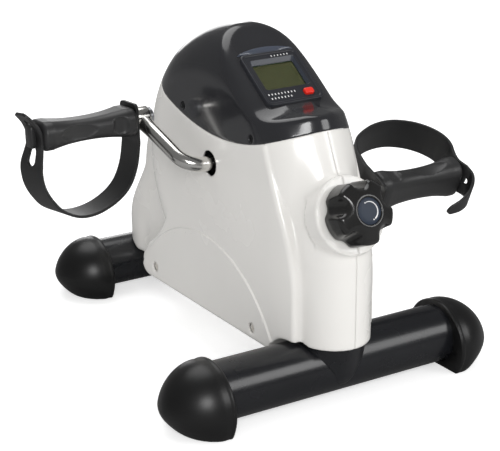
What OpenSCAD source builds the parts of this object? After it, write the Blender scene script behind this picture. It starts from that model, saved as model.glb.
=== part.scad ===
// Pedal exerciser: two cross tubes on domed feet carry a steel spine, and a
// two-part plastic housing covers a crank axle with a band brake. A knob on the
// nose tightens the brake, and a small monitor sits in the dark top cover.
// Frame: +X is the user's right, -Y faces the user, +Z is up. The origin lies on
// the floor, in the plane of symmetry, under the middle of the whole machine.

/* [Feet] */
// Distance between the axes of the front and rear cross tubes
foot_span = 316; // [300:1:326]
// Place of the front cross tube along the machine
front_tube_y = -143.5; // [-147:0.5:-140]
// Outside diameter of the front cross tube
front_tube_d = 51; // [46:0.5:53]
// Outside diameter of the rear cross tube
rear_tube_d = 47; // [42:0.5:49]
// Wall of both cross tubes
tube_wall = 2; // [1.5:0.1:3]
// Height of the underside of both tubes above the floor
tube_lift = 3; // [2:0.5:4]
// Distance from the middle to the rim of each front foot
front_rim_x = 115; // [105:1:125]
// Distance from the middle to the rim of each rear foot
rear_rim_x = 54; // [50:1:70]
// Radius of the dome of each front foot
front_foot_r = 39; // [37:0.5:42]
// Radius of the dome of each rear foot
rear_foot_r = 36; // [34:0.5:39]
// Straight length between a foot's rim and its dome
foot_skirt = 9; // [4:0.5:12]
// Depth of the socket that a tube plugs into
socket_depth = 18; // [12:1:20]
// Rise of a foot's rim above the top of its tube
rim_rise = 4; // [2.5:0.5:5]

/* [Frame] */
// Radius of the neck that rises from the front tube into the nose
neck_r = 34; // [32:0.5:34.5]
// Height of the top of the neck
neck_top = 92; // [85:1:100]
// Width of the spine tube
spine_w = 25; // [24:0.5:28]
// Height of the spine tube
spine_h = 32; // [26:1:36]
// Height of the spine's underside above the floor
spine_bottom = 46; // [44:0.5:50]
// Wall of the spine tube
spine_wall = 2; // [1.5:0.1:3]
// Thickness of the plates that carry the bearings
plate_t = 4; // [3:0.5:5]

/* [Housing] */
// Width of the housing over both cheeks
housing_w = 88; // [86:1:96]
// Wall of the housing and of the top cover
wall = 2.6; // [2:0.1:3]
// Height of the housing's flat underside
body_bottom = 40; // [38:0.5:42]
// Radius of the round nose
nose_r = 38; // [37.5:0.5:42]
// Height of the nose's lower edge
nose_bottom = 53; // [52:0.5:56]
// Height at which the nose starts to lean back
nose_bend_z = 125; // [115:1:135]
// Lean of the upper nose, in degrees from upright
nose_tilt = 23.5; // [21:0.5:25]
// Lead of the cheek's front edge over the middle of the nose
cheek_lead = 7; // [6:0.5:14]
// Radius of the round top, seen from the side
dome_r = 128; // [122:1:134]
// Radius of the rounding between the top and the cheeks
dome_edge_r = 41; // [30:0.5:42]
// Place of the middle of the round top along the machine
dome_y = -20.5; // [-24:0.5:-17]
// Height of the middle of the round top
dome_z = 168; // [164:1:172]
// Radius of the rear stem that covers the end of the spine
stem_r = 22; // [20:0.5:24]
// Radius of the hollow sweep at the rear of each cheek
waist_r = 78; // [70:1:84]
// Radius of the arched step on each cheek
skirt_r = 128; // [120:1:136]
// Height of the top of the arched step
skirt_top = 112; // [104:1:116]
// Height of the arched step's relief
skirt_proud = 1.5; // [1:0.1:2.5]
// Diameter of the hole that the crank passes through
crank_hole_d = 22.5; // [19:0.5:26]
// Lowest height of the curved joint between cover and housing
joint_low = 207; // [203:1:212]
// Radius of the curved joint between cover and housing
joint_r = 229; // [210:1:250]
// Gap of the joint between cover and housing
joint_gap = 0.3; // [0.2:0.05:0.5]
// Height of the ledge under the monitor
ledge_z = 240; // [238:0.5:241]
// Rise of the lip in front of the ledge
lip_rise = 5; // [3:0.5:7]
// Thickness of the lip in front of the ledge
lip_t = 3.5; // [3:0.1:5]
// Width of the flat slope that the monitor sits in
console_w = 60; // [59:0.5:64]
// Radius of the rounding on each side of the flat slope
console_edge_r = 17; // [16.5:0.5:20]

/* [Monitor] */
// Slope of the monitor's face, in degrees from level
monitor_tilt = 34.5; // [32:0.5:37]
// Place of the middle of the monitor's face along the machine
monitor_y = -70; // [-72:0.5:-68]
// Height of the middle of the monitor's face
monitor_z = 261.5; // [259:0.5:264]
// Width of the monitor's bezel
monitor_w = 54; // [50:1:58]
// Length of the monitor's bezel up the slope
monitor_l = 57; // [54:1:60]
// Rise of the bezel above the cover
bezel_rise = 3; // [2:0.5:4]
// Depth of the monitor's box below the bezel
box_depth = 20; // [18:0.5:22]
// Width of the display window
lcd_w = 38; // [34:1:42]
// Length of the display window up the slope
lcd_l = 27; // [24:1:29]
// Width of the reset button
button_w = 9; // [7:0.5:11]
// Length of the reset button up the slope
button_l = 6; // [5:0.5:7]
// Travel of the reset button
button_travel = 1; // [0.6:0.1:1.4]

/* [Drive] */
// Place of the crank axle along the machine
crank_y = -23.5; // [-26:0.5:-20]
// Height of the crank axle
crank_z = 180; // [176:1:184]
// Distance from the crank axle to each pedal spindle
crank_r = 70; // [64:1:76]
// Diameter of the bent crank rod
rod_d = 13; // [11:0.5:15]
// Radius of the bend in each crank rod, on its centre line
rod_bend_r = 20; // [16:1:24]
// Angle that the bend turns through
rod_bend_a = 80; // [74:1:84]
// Angle of the left crank above level at rest
crank_angle = 26; // [0:1:45]
// Distance from the middle to the start of each rod's bend
bend_x = 48; // [46:0.5:52]
// Diameter of the axle sleeve
axle_d = 20; // [18:0.5:22]
// Outside diameter of each bearing
bearing_d = 36; // [32:1:38]
// Width of each bearing
bearing_w = 9; // [7:0.5:11]
// Diameter of the brake wheel
wheel_d = 132; // [124:1:134]
// Width of the brake wheel's rim
wheel_w = 20; // [14:0.5:21]
// Running clearance of every shaft in its hole
run_gap = 0.05; // [0.02:0.01:0.1]

/* [Pedals] */
// Length of each pedal along its spindle
pedal_l = 88.5; // [84:0.5:96]
// Width of a pedal at its ends
pedal_w = 40; // [34:1:46]
// Thickness of a pedal at its ends
pedal_t = 26; // [22:0.5:30]
// Depth of the waist on each long side
waist_depth = 3; // [1:0.5:4]
// Diameter of the pedal spindle
spindle_d = 10; // [8:0.5:12]
// Width of each foot strap
strap_w = 30; // [24:1:34]
// Thickness of each foot strap
strap_t = 2.5; // [2:0.1:3]
// Drop of the strap's loop from the middle of the pedal
strap_drop = 77; // [72:1:84]

/* [Resistance] */
// Diameter of the knob over its lobes
knob_d = 54; // [50:1:58]
// Length of the knob
knob_h = 27; // [22:1:30]
// Number of lobes on the knob
knob_lobes = 5; // [4:1:7]
// Radius of the round pad behind the knob
pad_r = 31; // [29:0.5:33]
// Rise of the pad over the front of the nose
pad_rise = 5; // [3:0.5:8]
// Diameter of the tension screw
screw_d = 6; // [5:0.5:8]
// Pitch of the tension screw
screw_pitch = 1.5; // [1:0.25:2]
// Number of turns from slack to tight
knob_turns = 8; // [4:1:8]
// Thickness of the felt lining of the brake band
felt_t = 3; // [2:0.5:4]
// Thickness of the brake band
band_t = 1.2; // [0.8:0.1:1.6]

/* [Hidden] */
$fn = 64;

// Shared places
front_y = front_tube_y;
rear_y = front_tube_y + foot_span;
front_tube_r = front_tube_d / 2;
rear_tube_r = rear_tube_d / 2;
front_tube_z = tube_lift + front_tube_r;
rear_tube_z = tube_lift + rear_tube_r;
half_w = housing_w / 2;
weld_gap = 0.05;
big = 600;

// A chain of round rods with a ball at each corner
module limb(points, r, ball_r) {
    for (i = [0 : len(points) - 2]) {
        v = points[i + 1] - points[i];
        translate(points[i])
            rotate([0, acos(v[2] / norm(v)), atan2(v[1], v[0])])
                cylinder(r = r, h = norm(v));
    }
    if (len(points) > 2)
        for (i = [1 : len(points) - 2])
            translate(points[i]) sphere(r = ball_r);
}

// A cylinder along +X that starts at x0
module rod_x(x0, x1, r) {
    translate([x0, 0, 0]) rotate([0, 90, 0]) cylinder(r = r, h = x1 - x0);
}

// Points of an arc in a plane, from angle a0 to a1
function arc(c, r, a0, a1, n = 12) =
    [for (i = [0 : n]) c + r * [cos(a0 + (a1 - a0) * i / n), sin(a0 + (a1 - a0) * i / n)]];

// A flat shape drawn in Y and Z, thickened from x0 to x1
module side_plate(x0, x1) {
    translate([x0, 0, 0]) rotate([90, 0, 90]) linear_extrude(x1 - x0) children();
}

// The children, and their mirror image across the plane of symmetry
module on_side(side) {
    if (side < 0) children();
    else mirror([1, 0, 0]) children();
}

// Feet and frame
module cross_tube(y, z, r, half_l) {
    color([0.09, 0.09, 0.1])
        translate([0, y, z])
            difference() {
                rod_x(-half_l, half_l, r);
                rod_x(-half_l - 1, half_l + 1, r - tube_wall);
            }
}

module front_tube() {
    cross_tube(front_y, front_tube_z, front_tube_r, front_rim_x + socket_depth);
}

module rear_tube() {
    cross_tube(rear_y, rear_tube_z, rear_tube_r, rear_rim_x + socket_depth);
}

// A domed foot, flat below, with a socket for the end of its tube
module foot(side, rim_x, y, tube_z, tube_r, foot_r) {
    axis_z = tube_z + tube_r + rim_rise - foot_r;
    plug_gap = 0.1;
    color([0.11, 0.11, 0.11])
        on_side(side)
            translate([0, y, 0])
                difference() {
                    translate([-rim_x, 0, axis_z])
                        rotate([0, -90, 0])
                            rotate_extrude() {
                                square([foot_r, foot_skirt]);
                                translate([0, foot_skirt])
                                    intersection() {
                                        circle(r = foot_r);
                                        square(foot_r);
                                    }
                            }
                    translate([-big / 2, -big / 2, -big]) cube([big, big, big]);
                    translate([0, 0, tube_z])
                        rod_x(-rim_x - socket_depth - plug_gap, -rim_x + 1, tube_r + plug_gap);
                }
}

module front_foot(side) {
    foot(side, front_rim_x, front_y, front_tube_z, front_tube_r, front_foot_r);
}

module rear_foot(side) {
    foot(side, rear_rim_x, rear_y, rear_tube_z, rear_tube_r, rear_foot_r);
}

neck_wall = 2.5;
neck_dip = 12.8;
neck_foot_z = front_tube_z - neck_dip;
neck_foot_r = sqrt(front_tube_r * front_tube_r - neck_dip * neck_dip) - 0.2;
neck_mid_z = front_tube_z - neck_dip / 2;
neck_mid_r = front_tube_r + 0.1;

module neck_body(inset) {
    translate([0, front_y, neck_foot_z])
        cylinder(r1 = neck_foot_r - inset, r2 = neck_mid_r - inset, h = neck_mid_z - neck_foot_z);
    translate([0, front_y, neck_mid_z])
        cylinder(r1 = neck_mid_r - inset, r2 = neck_r - inset, h = nose_bottom - neck_mid_z);
    translate([0, front_y, nose_bottom])
        cylinder(r = neck_r - inset, h = neck_top - nose_bottom + (inset > 0 ? 1 : 0));
}

module front_neck() {
    color([0.09, 0.09, 0.1])
        difference() {
            neck_body(0);
            neck_body(neck_wall);
            translate([0, front_y, front_tube_z])
                rod_x(-big, big, front_tube_r + weld_gap);
        }
}

// Places of the two bolts that hold the bearing plates to the spine
bolt_ys = [crank_y - 22, crank_y + 22];
bolt_z = spine_bottom + spine_h / 2;
bolt_r = 4;

// Places of the screws in each cheek, as Y and Z
cheek_screws = [[73, body_bottom + 13], [-93, body_bottom + 11]];
screw_r = 1.75;

spine_end_y = rear_y - 8;

module frame_spine() {
    color([0.12, 0.12, 0.13])
        difference() {
            translate([-spine_w / 2, front_y, spine_bottom])
                cube([spine_w, spine_end_y - front_y, spine_h]);
            translate([-spine_w / 2 + spine_wall, front_y - 1, spine_bottom + spine_wall])
                cube([spine_w - 2 * spine_wall, spine_end_y - front_y + 2, spine_h - 2 * spine_wall]);
            translate([0, front_y, 0]) cylinder(r = neck_r + weld_gap, h = big);
            translate([0, rear_y, rear_tube_z]) rod_x(-big, big, rear_tube_r + weld_gap);
            for (y = bolt_ys)
                translate([0, y, bolt_z]) rod_x(-big, big, bolt_r + weld_gap);
            for (p = cheek_screws)
                translate([0, p[0], p[1]]) rod_x(-big, big, screw_r + weld_gap);
        }
}

// Brake band: it leaves the wheel along the line of the tension screw
wheel_r = wheel_d / 2;
felt_r = wheel_r + 0.3;
band_r = felt_r + felt_t;
line_r = band_r + band_t / 2;
anchor_a = 85;
anchor_r = band_r + band_t + 4;
anchor_pin_r = 3;
anchor = [crank_y + anchor_r * cos(anchor_a), crank_z + anchor_r * sin(anchor_a)];
band_w = wheel_w - 4;

// Bearing plates
plate_x = spine_w / 2;
cup_r = bearing_d / 2 + 4;
cup_x = plate_x + bearing_w + 2.5;
plate_half_l = 36;
plate_lift = 3;
anchor_lobe_r = 7;
sensor_y = crank_y;
sensor_z = crank_z - 45;
wire_hole_r = 2;

module bearing_plate(side) {
    color([0.55, 0.56, 0.58])
        on_side(side)
            difference() {
                union() {
                    side_plate(-plate_x - plate_t, -plate_x) {
                        polygon([
                            [crank_y - plate_half_l, spine_bottom + plate_lift],
                            [crank_y + plate_half_l, spine_bottom + plate_lift],
                            [crank_y + plate_half_l, spine_bottom + spine_h],
                            [crank_y + cup_r, crank_z],
                            [crank_y - cup_r, crank_z],
                            [crank_y - plate_half_l, spine_bottom + spine_h]
                        ]);
                        polygon([
                            [crank_y - anchor_lobe_r, crank_z],
                            [crank_y + cup_r / 2, crank_z],
                            [anchor[0] + anchor_lobe_r, anchor[1]],
                            [anchor[0] - anchor_lobe_r, anchor[1]]
                        ]);
                        translate(anchor) circle(r = anchor_lobe_r);
                        translate([crank_y, crank_z]) circle(r = cup_r);
                    }
                    translate([0, crank_y, crank_z]) rod_x(-cup_x, -plate_x, cup_r);
                }
                translate([0, crank_y, crank_z])
                    rod_x(-cup_x - 1, 1 - plate_x, bearing_d / 2 + weld_gap);
                for (y = bolt_ys)
                    translate([0, y, bolt_z]) rod_x(-big, 0, bolt_r + weld_gap);
                translate([0, anchor[0], anchor[1]]) rod_x(-big, 0, anchor_pin_r + weld_gap);
                translate([0, sensor_y, sensor_z]) rod_x(-big, 0, wire_hole_r);
                for (p = cheek_screws)
                    translate([0, p[0], p[1]]) rod_x(-big, 0, 6);
            }
}

module bearing(side) {
    color([0.78, 0.79, 0.8])
        on_side(side)
            translate([0, crank_y, crank_z])
                difference() {
                    rod_x(-plate_x - 1 - bearing_w, -plate_x - 1, bearing_d / 2);
                    rod_x(-big, 0, axle_d / 2 + run_gap);
                }
}

module plate_bolts() {
    grip = plate_x + plate_t;
    head_h = 5;
    color([0.7, 0.7, 0.72])
        for (y = bolt_ys)
            translate([0, y, bolt_z]) {
                rod_x(-grip, grip + head_h, bolt_r);
                translate([-grip - head_h, 0, 0]) rotate([0, 90, 0])
                    cylinder(r = 1.85 * bolt_r, h = head_h, $fn = 6);
                translate([grip, 0, 0]) rotate([0, 90, 0])
                    cylinder(r = 1.85 * bolt_r, h = head_h - 1, $fn = 6);
            }
}

module band_anchor_pin() {
    color([0.7, 0.7, 0.72])
        translate([0, anchor[0], anchor[1]])
            rod_x(-plate_x - plate_t - 1.5, plate_x + plate_t + 1.5, anchor_pin_r);
}

// Housing: one outer body, inset by the wall for its cavity, is parted at the
// plane of symmetry and along the curved joint under the top cover.
joint_y = -35.5;
lean = tan(nose_tilt);
nose_top_z = ledge_z + 30;
lobe_r = 14;
lobe_y = 86.5;
waist_y = 126.5;
waist_z = 142;
skirt_y = -12.5;
stem_path = [
    [0, rear_y - 18, body_bottom + 4],
    [0, rear_y - 20, 84],
    [0, rear_y - 46, 125],
    [0, rear_y - 56, 160],
    [0, rear_y - 96, 205]
];

// Half the width of the web between the cheeks and the stem
web_x = 19;

// Outline of the web in Y and Z, with its rear edge inside the stem
function web_outline(inset) = concat(
    [[skirt_y, body_bottom + inset], [stem_path[0][1], body_bottom + inset]],
    [for (i = [1 : 3]) [stem_path[i][1], stem_path[i][2]]],
    [[skirt_y, stem_path[3][2]]]
);

// Outline of a cheek in Y and Z, drawn in by the inset
function cheek_outline(inset) = concat(
    [[front_y - cheek_lead + inset, body_bottom + inset]],
    arc([lobe_y, body_bottom + lobe_r], lobe_r - inset, -90, 50),
    arc([waist_y, waist_z], waist_r + inset, 240, 150),
    [[dome_y, dome_z + 40]],
    [[front_y - cheek_lead + inset + (dome_z + 40 - nose_bend_z) * lean, dome_z + 40]],
    [[front_y - cheek_lead + inset, nose_bend_z]]
);

module dome(inset) {
    core_w = half_w - dome_edge_r;
    translate([0, dome_y, dome_z])
        rotate([0, 90, 0])
            rotate_extrude() {
                translate([0, -half_w + inset])
                    square([dome_r - dome_edge_r, 2 * (half_w - inset)]);
                translate([0, -core_w])
                    square([dome_r - inset, 2 * core_w]);
                for (s = [-1, 1])
                    translate([dome_r - dome_edge_r, s * core_w])
                        circle(r = dome_edge_r - inset);
            }
}

module nose(inset) {
    drop = inset > 0 ? 5 : 0;
    translate([0, front_y, nose_bottom - drop])
        cylinder(r = nose_r - inset, h = nose_bend_z - nose_bottom + drop);
    translate([0, front_y, nose_bend_z]) {
        sphere(r = nose_r - inset);
        rotate([-nose_tilt, 0, 0])
            cylinder(r = nose_r - inset, h = (nose_top_z - nose_bend_z) / cos(nose_tilt));
    }
}

// The space in front of the monitor's slope and above a height
module front_cut(z, inset) {
    intersection() {
        translate([-big / 2, -big / 2, z - inset]) cube([big, big, big]);
        at_monitor() {
            translate([-big / 2, -big / 2, -bezel_rise - inset]) cube([big, big, big]);
            for (side = [-1, 1])
                outward(side)
                    translate([console_w / 2, 0, -bezel_rise - console_edge_r])
                        difference() {
                            translate([0, -big / 2, 0]) cube([big, big, big]);
                            rotate([90, 0, 0])
                                cylinder(r = console_edge_r - inset, h = 2 * big, center = true);
                        }
        }
    }
}

// The trough behind the lip
module ledge_trough() {
    intersection() {
        front_cut(ledge_z, 0);
        union() {
            dome(lip_t);
            nose(lip_t);
        }
    }
}

module outer_body(inset) {
    difference() {
        union() {
            dome(inset);
            nose(inset);
            side_plate(-half_w + inset, half_w - inset) polygon(cheek_outline(inset));
            limb(stem_path, stem_r - inset, stem_r - inset + 0.1);
            side_plate(-web_x + inset, web_x - inset) polygon(web_outline(inset));
        }
        if (inset > 0) front_cut(ledge_z, inset);
        else {
            front_cut(ledge_z + lip_rise, 0);
            ledge_trough();
        }
    }
}

module joint_cut(gap) {
    translate([0, joint_y, joint_low + joint_r]) rod_x(-big, big, joint_r + gap);
}

// The plane of symmetry seen from the crank: a line along the tension screw.
// +X points away from the crank, -Y towards the knob, +Z to the user's right.
module at_screw() {
    translate([0, crank_y, crank_z])
        rotate([90, 0, 90])
            rotate([0, 0, 270 - nose_tilt])
                translate([line_r, 0, 0])
                    children();
}

// A cylinder on the tension screw's line, from s0 to s1 towards the knob
module on_screw(s0, s1, r) {
    at_screw() translate([0, -s0, 0]) rotate([90, 0, 0]) cylinder(r = r, h = s1 - s0);
}

// Distance from the crank to the front of the nose along the screw's line
nose_s = (crank_y - front_y) * cos(nose_tilt) + (nose_bend_z - crank_z) * sin(nose_tilt) + nose_r;
knob_s = nose_s + pad_rise + 0.6;

module housing(side) {
    color([0.86, 0.85, 0.83])
        on_side(side)
            difference() {
                union() {
                    difference() {
                        union() {
                            outer_body(0);
                            on_screw(nose_s - 14, nose_s + pad_rise, pad_r);
                            cheek_skirt();
                        }
                        outer_body(wall);
                    }
                    screw_posts();
                    cover_tabs();
                }
                translate([0, -big / 2, -1]) cube([big, big, big]);
                difference() {
                    joint_cut(0);
                    cover_tabs();
                }
                translate([0, crank_y, crank_z]) rod_x(-big, 0, crank_hole_d / 2);
                translate([0, front_y, front_tube_z]) rod_x(-big, 0, front_tube_r + 3);
                translate([0, rear_y, rear_tube_z]) rod_x(-big, 0, rear_tube_r + 1);
                translate([0, front_y, 0]) cylinder(r = neck_r + 0.4, h = neck_top + 1);
                spine_space();
                on_screw(nose_s - 20, knob_s, screw_d / 2 + 1.5);
                for (p = cheek_screws) {
                    translate([0, p[0], p[1]]) rod_x(-big, 0, screw_r + weld_gap);
                    translate([0, p[0], p[1]]) rod_x(-big, -half_w + 2, 4.5);
                }
                for (p = cover_screw_at)
                    translate([0, p[0], p[1]]) rod_x(-big, 0, screw_r + weld_gap);
            }
}

// Room for the spine where it passes through the housing's walls
module spine_space() {
    translate([-spine_w / 2 - fit_gap, front_y, spine_bottom - fit_gap])
        cube([spine_w + 2 * fit_gap, spine_end_y - front_y + 1, spine_h + 2 * fit_gap]);
}

// Tabs that stand up behind the cover and take its screws
module cover_tabs() {
    tab_x = -half_w + wall + 1;
    for (p = cover_screw_at) {
        translate([tab_x, p[0] - 5, p[1] - 20]) cube([4, 10, 24]);
        translate([tab_x - 2, p[0] - 5, p[1] - 20]) cube([3, 10, 8]);
    }
}

// The raised lower part of a cheek, under its arched step
module cheek_skirt() {
    intersection() {
        side_plate(-half_w - skirt_proud, -half_w + 1) polygon(cheek_outline(0));
        translate([0, skirt_y, skirt_top - skirt_r]) rod_x(-big, 0, skirt_r);
    }
}

// Tubular posts that carry the cheek screws from the cheek to the spine
module screw_posts() {
    for (p = cheek_screws)
        translate([0, p[0], p[1]]) rod_x(-half_w + 1, -plate_x - weld_gap, 5);
}

module housing_screws() {
    color([0.75, 0.75, 0.77])
        for (side = [-1, 1], p = cheek_screws)
            on_side(side)
                translate([0, p[0], p[1]]) {
                    rod_x(-half_w + 0.5, -plate_x + 6, screw_r);
                    rod_x(-half_w - 0.5, -half_w + 2, 3.4);
                }
}

// Top cover and monitor
cover_screw_share = [0.3164, -0.543];
cover_screw_lift = [7.7, 4.9];
cover_screw_l = 9;
cover_screw_at = [for (i = [0, 1])
    let (y = dome_y + cover_screw_share[i] * dome_r)
    [y, joint_low + joint_r - sqrt(pow(joint_r, 2) - pow(y - joint_y, 2)) + cover_screw_lift[i]]];
box_inset = 2.5;
fit_gap = 0.3;

module at_monitor() {
    translate([0, monitor_y, monitor_z]) rotate([monitor_tilt, 0, 0]) children();
}

// A flat plate with round corners, centred, from z0 to z1
module round_plate(w, l, z0, z1, r) {
    translate([0, 0, z0])
        linear_extrude(z1 - z0) {
            square([w - 2 * r, l], center = true);
            square([w, l - 2 * r], center = true);
            for (sx = [-1, 1], sy = [-1, 1])
                translate([sx * (w / 2 - r), sy * (l / 2 - r)]) circle(r = r);
        }
}

module top_cover() {
    color([0.22, 0.22, 0.24])
        difference() {
            intersection() {
                difference() {
                    outer_body(0);
                    outer_body(wall);
                }
                joint_cut(-joint_gap);
            }
            at_monitor()
                round_plate(monitor_w - 2 * box_inset + 2 * fit_gap,
                    monitor_l - 2 * box_inset + 2 * fit_gap, -big / 10, 1, 3);
            for (p = cover_screw_at)
                translate([0, p[0], p[1]]) rod_x(-big, big, screw_r + weld_gap);
        }
}

module cover_screws() {
    color([0.16, 0.16, 0.17])
        for (side = [-1, 1], p = cover_screw_at)
            on_side(side)
                translate([0, p[0], p[1]]) {
                    rod_x(-half_w - 0.5, -half_w + cover_screw_l, screw_r);
                    rod_x(-half_w - 1.6, -half_w - 0.1, 3.2);
                }
}

lcd_y = 2.3;
case_wall = 1.8;
button_x = 16;
button_gap = 0.2;
lens_t = 1.4;
panel_t = 2.2;
board_t = 1.6;
back_t = 1.8;
board_z = -bezel_rise - lens_t - panel_t;
box_w = monitor_w - 2 * box_inset;
box_l = monitor_l - 2 * box_inset;
box_z = -bezel_rise - box_depth;
flange = 0.8;
button_y = case_wall + flange + 0.5 - box_l / 2 + button_l / 2;
wire_r = 1.1;
wire_at = [15, -6];

module monitor_case() {
    color([0.2, 0.2, 0.22])
        at_monitor()
            difference() {
                union() {
                    round_plate(monitor_w, monitor_l, -bezel_rise, 0, 5);
                    round_plate(box_w, box_l, box_z, -bezel_rise / 2, 3);
                }
                round_plate(box_w - 2 * case_wall, box_l - 2 * case_wall, box_z - 1, -bezel_rise, 2);
                translate([0, lcd_y, 0]) round_plate(lcd_w, lcd_l, -bezel_rise - 1, 1, 2);
                translate([button_x, button_y, 0])
                    round_plate(button_w + 2 * button_gap, button_l + 2 * button_gap,
                        -bezel_rise - 1, 1, 2);
            }
}

module monitor_back() {
    color([0.17, 0.17, 0.18])
        at_monitor()
            difference() {
                round_plate(box_w - 2 * case_wall - 2 * weld_gap,
                    box_l - 2 * case_wall - 2 * weld_gap, box_z, box_z + back_t, 2);
                translate([wire_at[0], wire_at[1], box_z - 1])
                    cylinder(r = wire_hole_r, h = back_t + 2);
            }
}

module display_lens() {
    color([0.75, 0.78, 0.76, 0.35])
        at_monitor()
            translate([0, lcd_y, 0]) {
                round_plate(lcd_w - 2 * weld_gap, lcd_l - 2 * weld_gap,
                    -bezel_rise - lens_t / 2, -0.3, 2);
                round_plate(lcd_w + 4, lcd_l + 4, -bezel_rise - lens_t, -bezel_rise, 2);
            }
}

module display_panel() {
    color([0.34, 0.35, 0.25])
        at_monitor()
            translate([0, lcd_y, 0])
                round_plate(lcd_w + 3, lcd_l + 3, board_z, board_z + panel_t, 1);
}

module circuit_board() {
    color([0.1, 0.35, 0.16])
        at_monitor()
            round_plate(box_w - 2 * case_wall - 2 * weld_gap,
                box_l - 2 * case_wall - 2 * weld_gap, board_z - board_t, board_z, 2);
}

module battery() {
    cell_r = 5.2;
    cell_l = 43;
    color([0.75, 0.65, 0.25])
        at_monitor()
            translate([-0.6, 8, box_z + back_t + cell_r]) {
                rod_x(-cell_l / 2, cell_l / 2, cell_r);
                rod_x(cell_l / 2 - 1, cell_l / 2 + 1.2, 1.9);
            }
}

module reset_button() {
    flange_t = 1.2;
    color([0.9, 0.18, 0.1])
        at_monitor()
            translate([button_x, button_y, 0]) {
                round_plate(button_w, button_l, -bezel_rise - flange_t, 1.5, 1.8);
                round_plate(button_w + 2 * flange, button_l + 2 * flange,
                    -bezel_rise - flange_t, -bezel_rise - weld_gap, 1.8);
            }
}

// Speed sensor: a reed switch beside the path of the wheel's magnet
magnet_r = 4;
web_w = 6;
magnet_h = 3;
sensor_gap = 1.5;
sensor_x = web_w / 2 + magnet_h + sensor_gap;

module reed_sensor() {
    color([0.14, 0.14, 0.15])
        translate([sensor_x, sensor_y - 9, sensor_z - 4.5])
            cube([plate_x - sensor_x, 18, 9]);
}

module sensor_wire() {
    color([0.05, 0.05, 0.05])
        limb([
            [plate_x, sensor_y, sensor_z],
            [plate_x + plate_t + 4, sensor_y, sensor_z],
            [cup_x, crank_y - cup_r - 9, crank_z - 18],
            [cup_x - 3, crank_y - cup_r - 11, crank_z + 22],
            monitor_point([wire_at[0], wire_at[1], box_z - 6]),
            monitor_point([wire_at[0], wire_at[1], board_z - board_t])
        ], wire_r, 1.5 * wire_r);
}

// A point given in the monitor's own frame
function monitor_point(p) = [
    p[0],
    monitor_y + p[1] * cos(monitor_tilt) - p[2] * sin(monitor_tilt),
    monitor_z + p[1] * sin(monitor_tilt) + p[2] * cos(monitor_tilt)
];

// Drive. Each side is drawn with +X pointing away from the machine.
axle_r = axle_d / 2;
rod_r = rod_d / 2;
spindle_r = spindle_d / 2;
sleeve_x = cup_x + 11;
grub_x = cup_x + 5.5;
grub_r = 2.5;
rod_gap = 3;
swage = 0.2;
eye_t = rod_d + 2.5;
eye_r = spindle_r + 7;
arm_start = [bend_x + rod_bend_r * sin(rod_bend_a), rod_bend_r * (1 - cos(rod_bend_a))];
arm_l = (crank_r - arm_start[1]) / sin(rod_bend_a);
eye_x = arm_start[0] + arm_l * cos(rod_bend_a);

module outward(side) {
    if (side < 0) mirror([1, 0, 0]) children();
    else children();
}

// The axle's frame, with +Y along the arm of one side's crank
module at_crank(side) {
    translate([0, crank_y, crank_z])
        rotate([crank_angle + (side < 0 ? 0 : 180), 0, 0])
            outward(side)
                children();
}

module axle_sleeve() {
    color([0.6, 0.61, 0.63])
        difference() {
            translate([0, crank_y, crank_z]) rod_x(-sleeve_x, sleeve_x, axle_r);
            translate([0, crank_y, crank_z]) rod_x(-big, big, rod_r + weld_gap);
            for (side = [-1, 1])
                at_crank(side) translate([grub_x, 0, 0]) cylinder(r = grub_r + weld_gap, h = big);
        }
}

module crank_grub_screws() {
    color([0.2, 0.2, 0.21])
        for (side = [-1, 1])
            at_crank(side)
                translate([grub_x, 0, rod_r + weld_gap])
                    cylinder(r = grub_r, h = axle_r - rod_r - 0.3);
}

module crank(side) {
    color([0.82, 0.83, 0.85])
        at_crank(side)
            difference() {
                union() {
                    rod_x(rod_gap, bend_x, rod_r);
                    translate([bend_x, rod_bend_r, 0])
                        rotate([0, 0, -90])
                            rotate_extrude(angle = rod_bend_a)
                                translate([rod_bend_r, 0]) circle(r = rod_r);
                    translate([arm_start[0], arm_start[1], 0])
                        rotate([0, 0, rod_bend_a])
                            rod_x(-1, arm_l - spindle_r - 0.5, rod_r - swage);
                    translate([eye_x, crank_r, 0]) rod_x(-eye_t / 2, eye_t / 2, eye_r);
                }
                translate([eye_x, crank_r, 0]) rod_x(-eye_t, eye_t, spindle_r + weld_gap);
            }
}

module brake_wheel() {
    hub_r = axle_r + 6;
    rim_t = 6;
    hub_w = spine_w - 3;
    hole_r = 11;
    color([0.42, 0.43, 0.45])
        translate([0, crank_y, crank_z])
            difference() {
                rotate([0, 90, 0])
                    rotate_extrude() {
                        translate([axle_r + weld_gap, -hub_w / 2])
                            square([hub_r - axle_r, hub_w]);
                        translate([hub_r - 1, -web_w / 2])
                            square([wheel_r - hub_r - 1, web_w]);
                        translate([wheel_r - rim_t, -wheel_w / 2])
                            square([rim_t, wheel_w]);
                    }
                for (i = [0 : 4])
                    rotate([36 + 72 * i, 0, 0])
                        translate([0, (hub_r + wheel_r - rim_t) / 2, 0]) rod_x(-big, big, hole_r);
            }
}

module wheel_magnet() {
    color([0.3, 0.3, 0.32])
        translate([web_w / 2, crank_y + crank_z - sensor_z, crank_z])
            rod_x(0, magnet_h, magnet_r);
}

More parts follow.
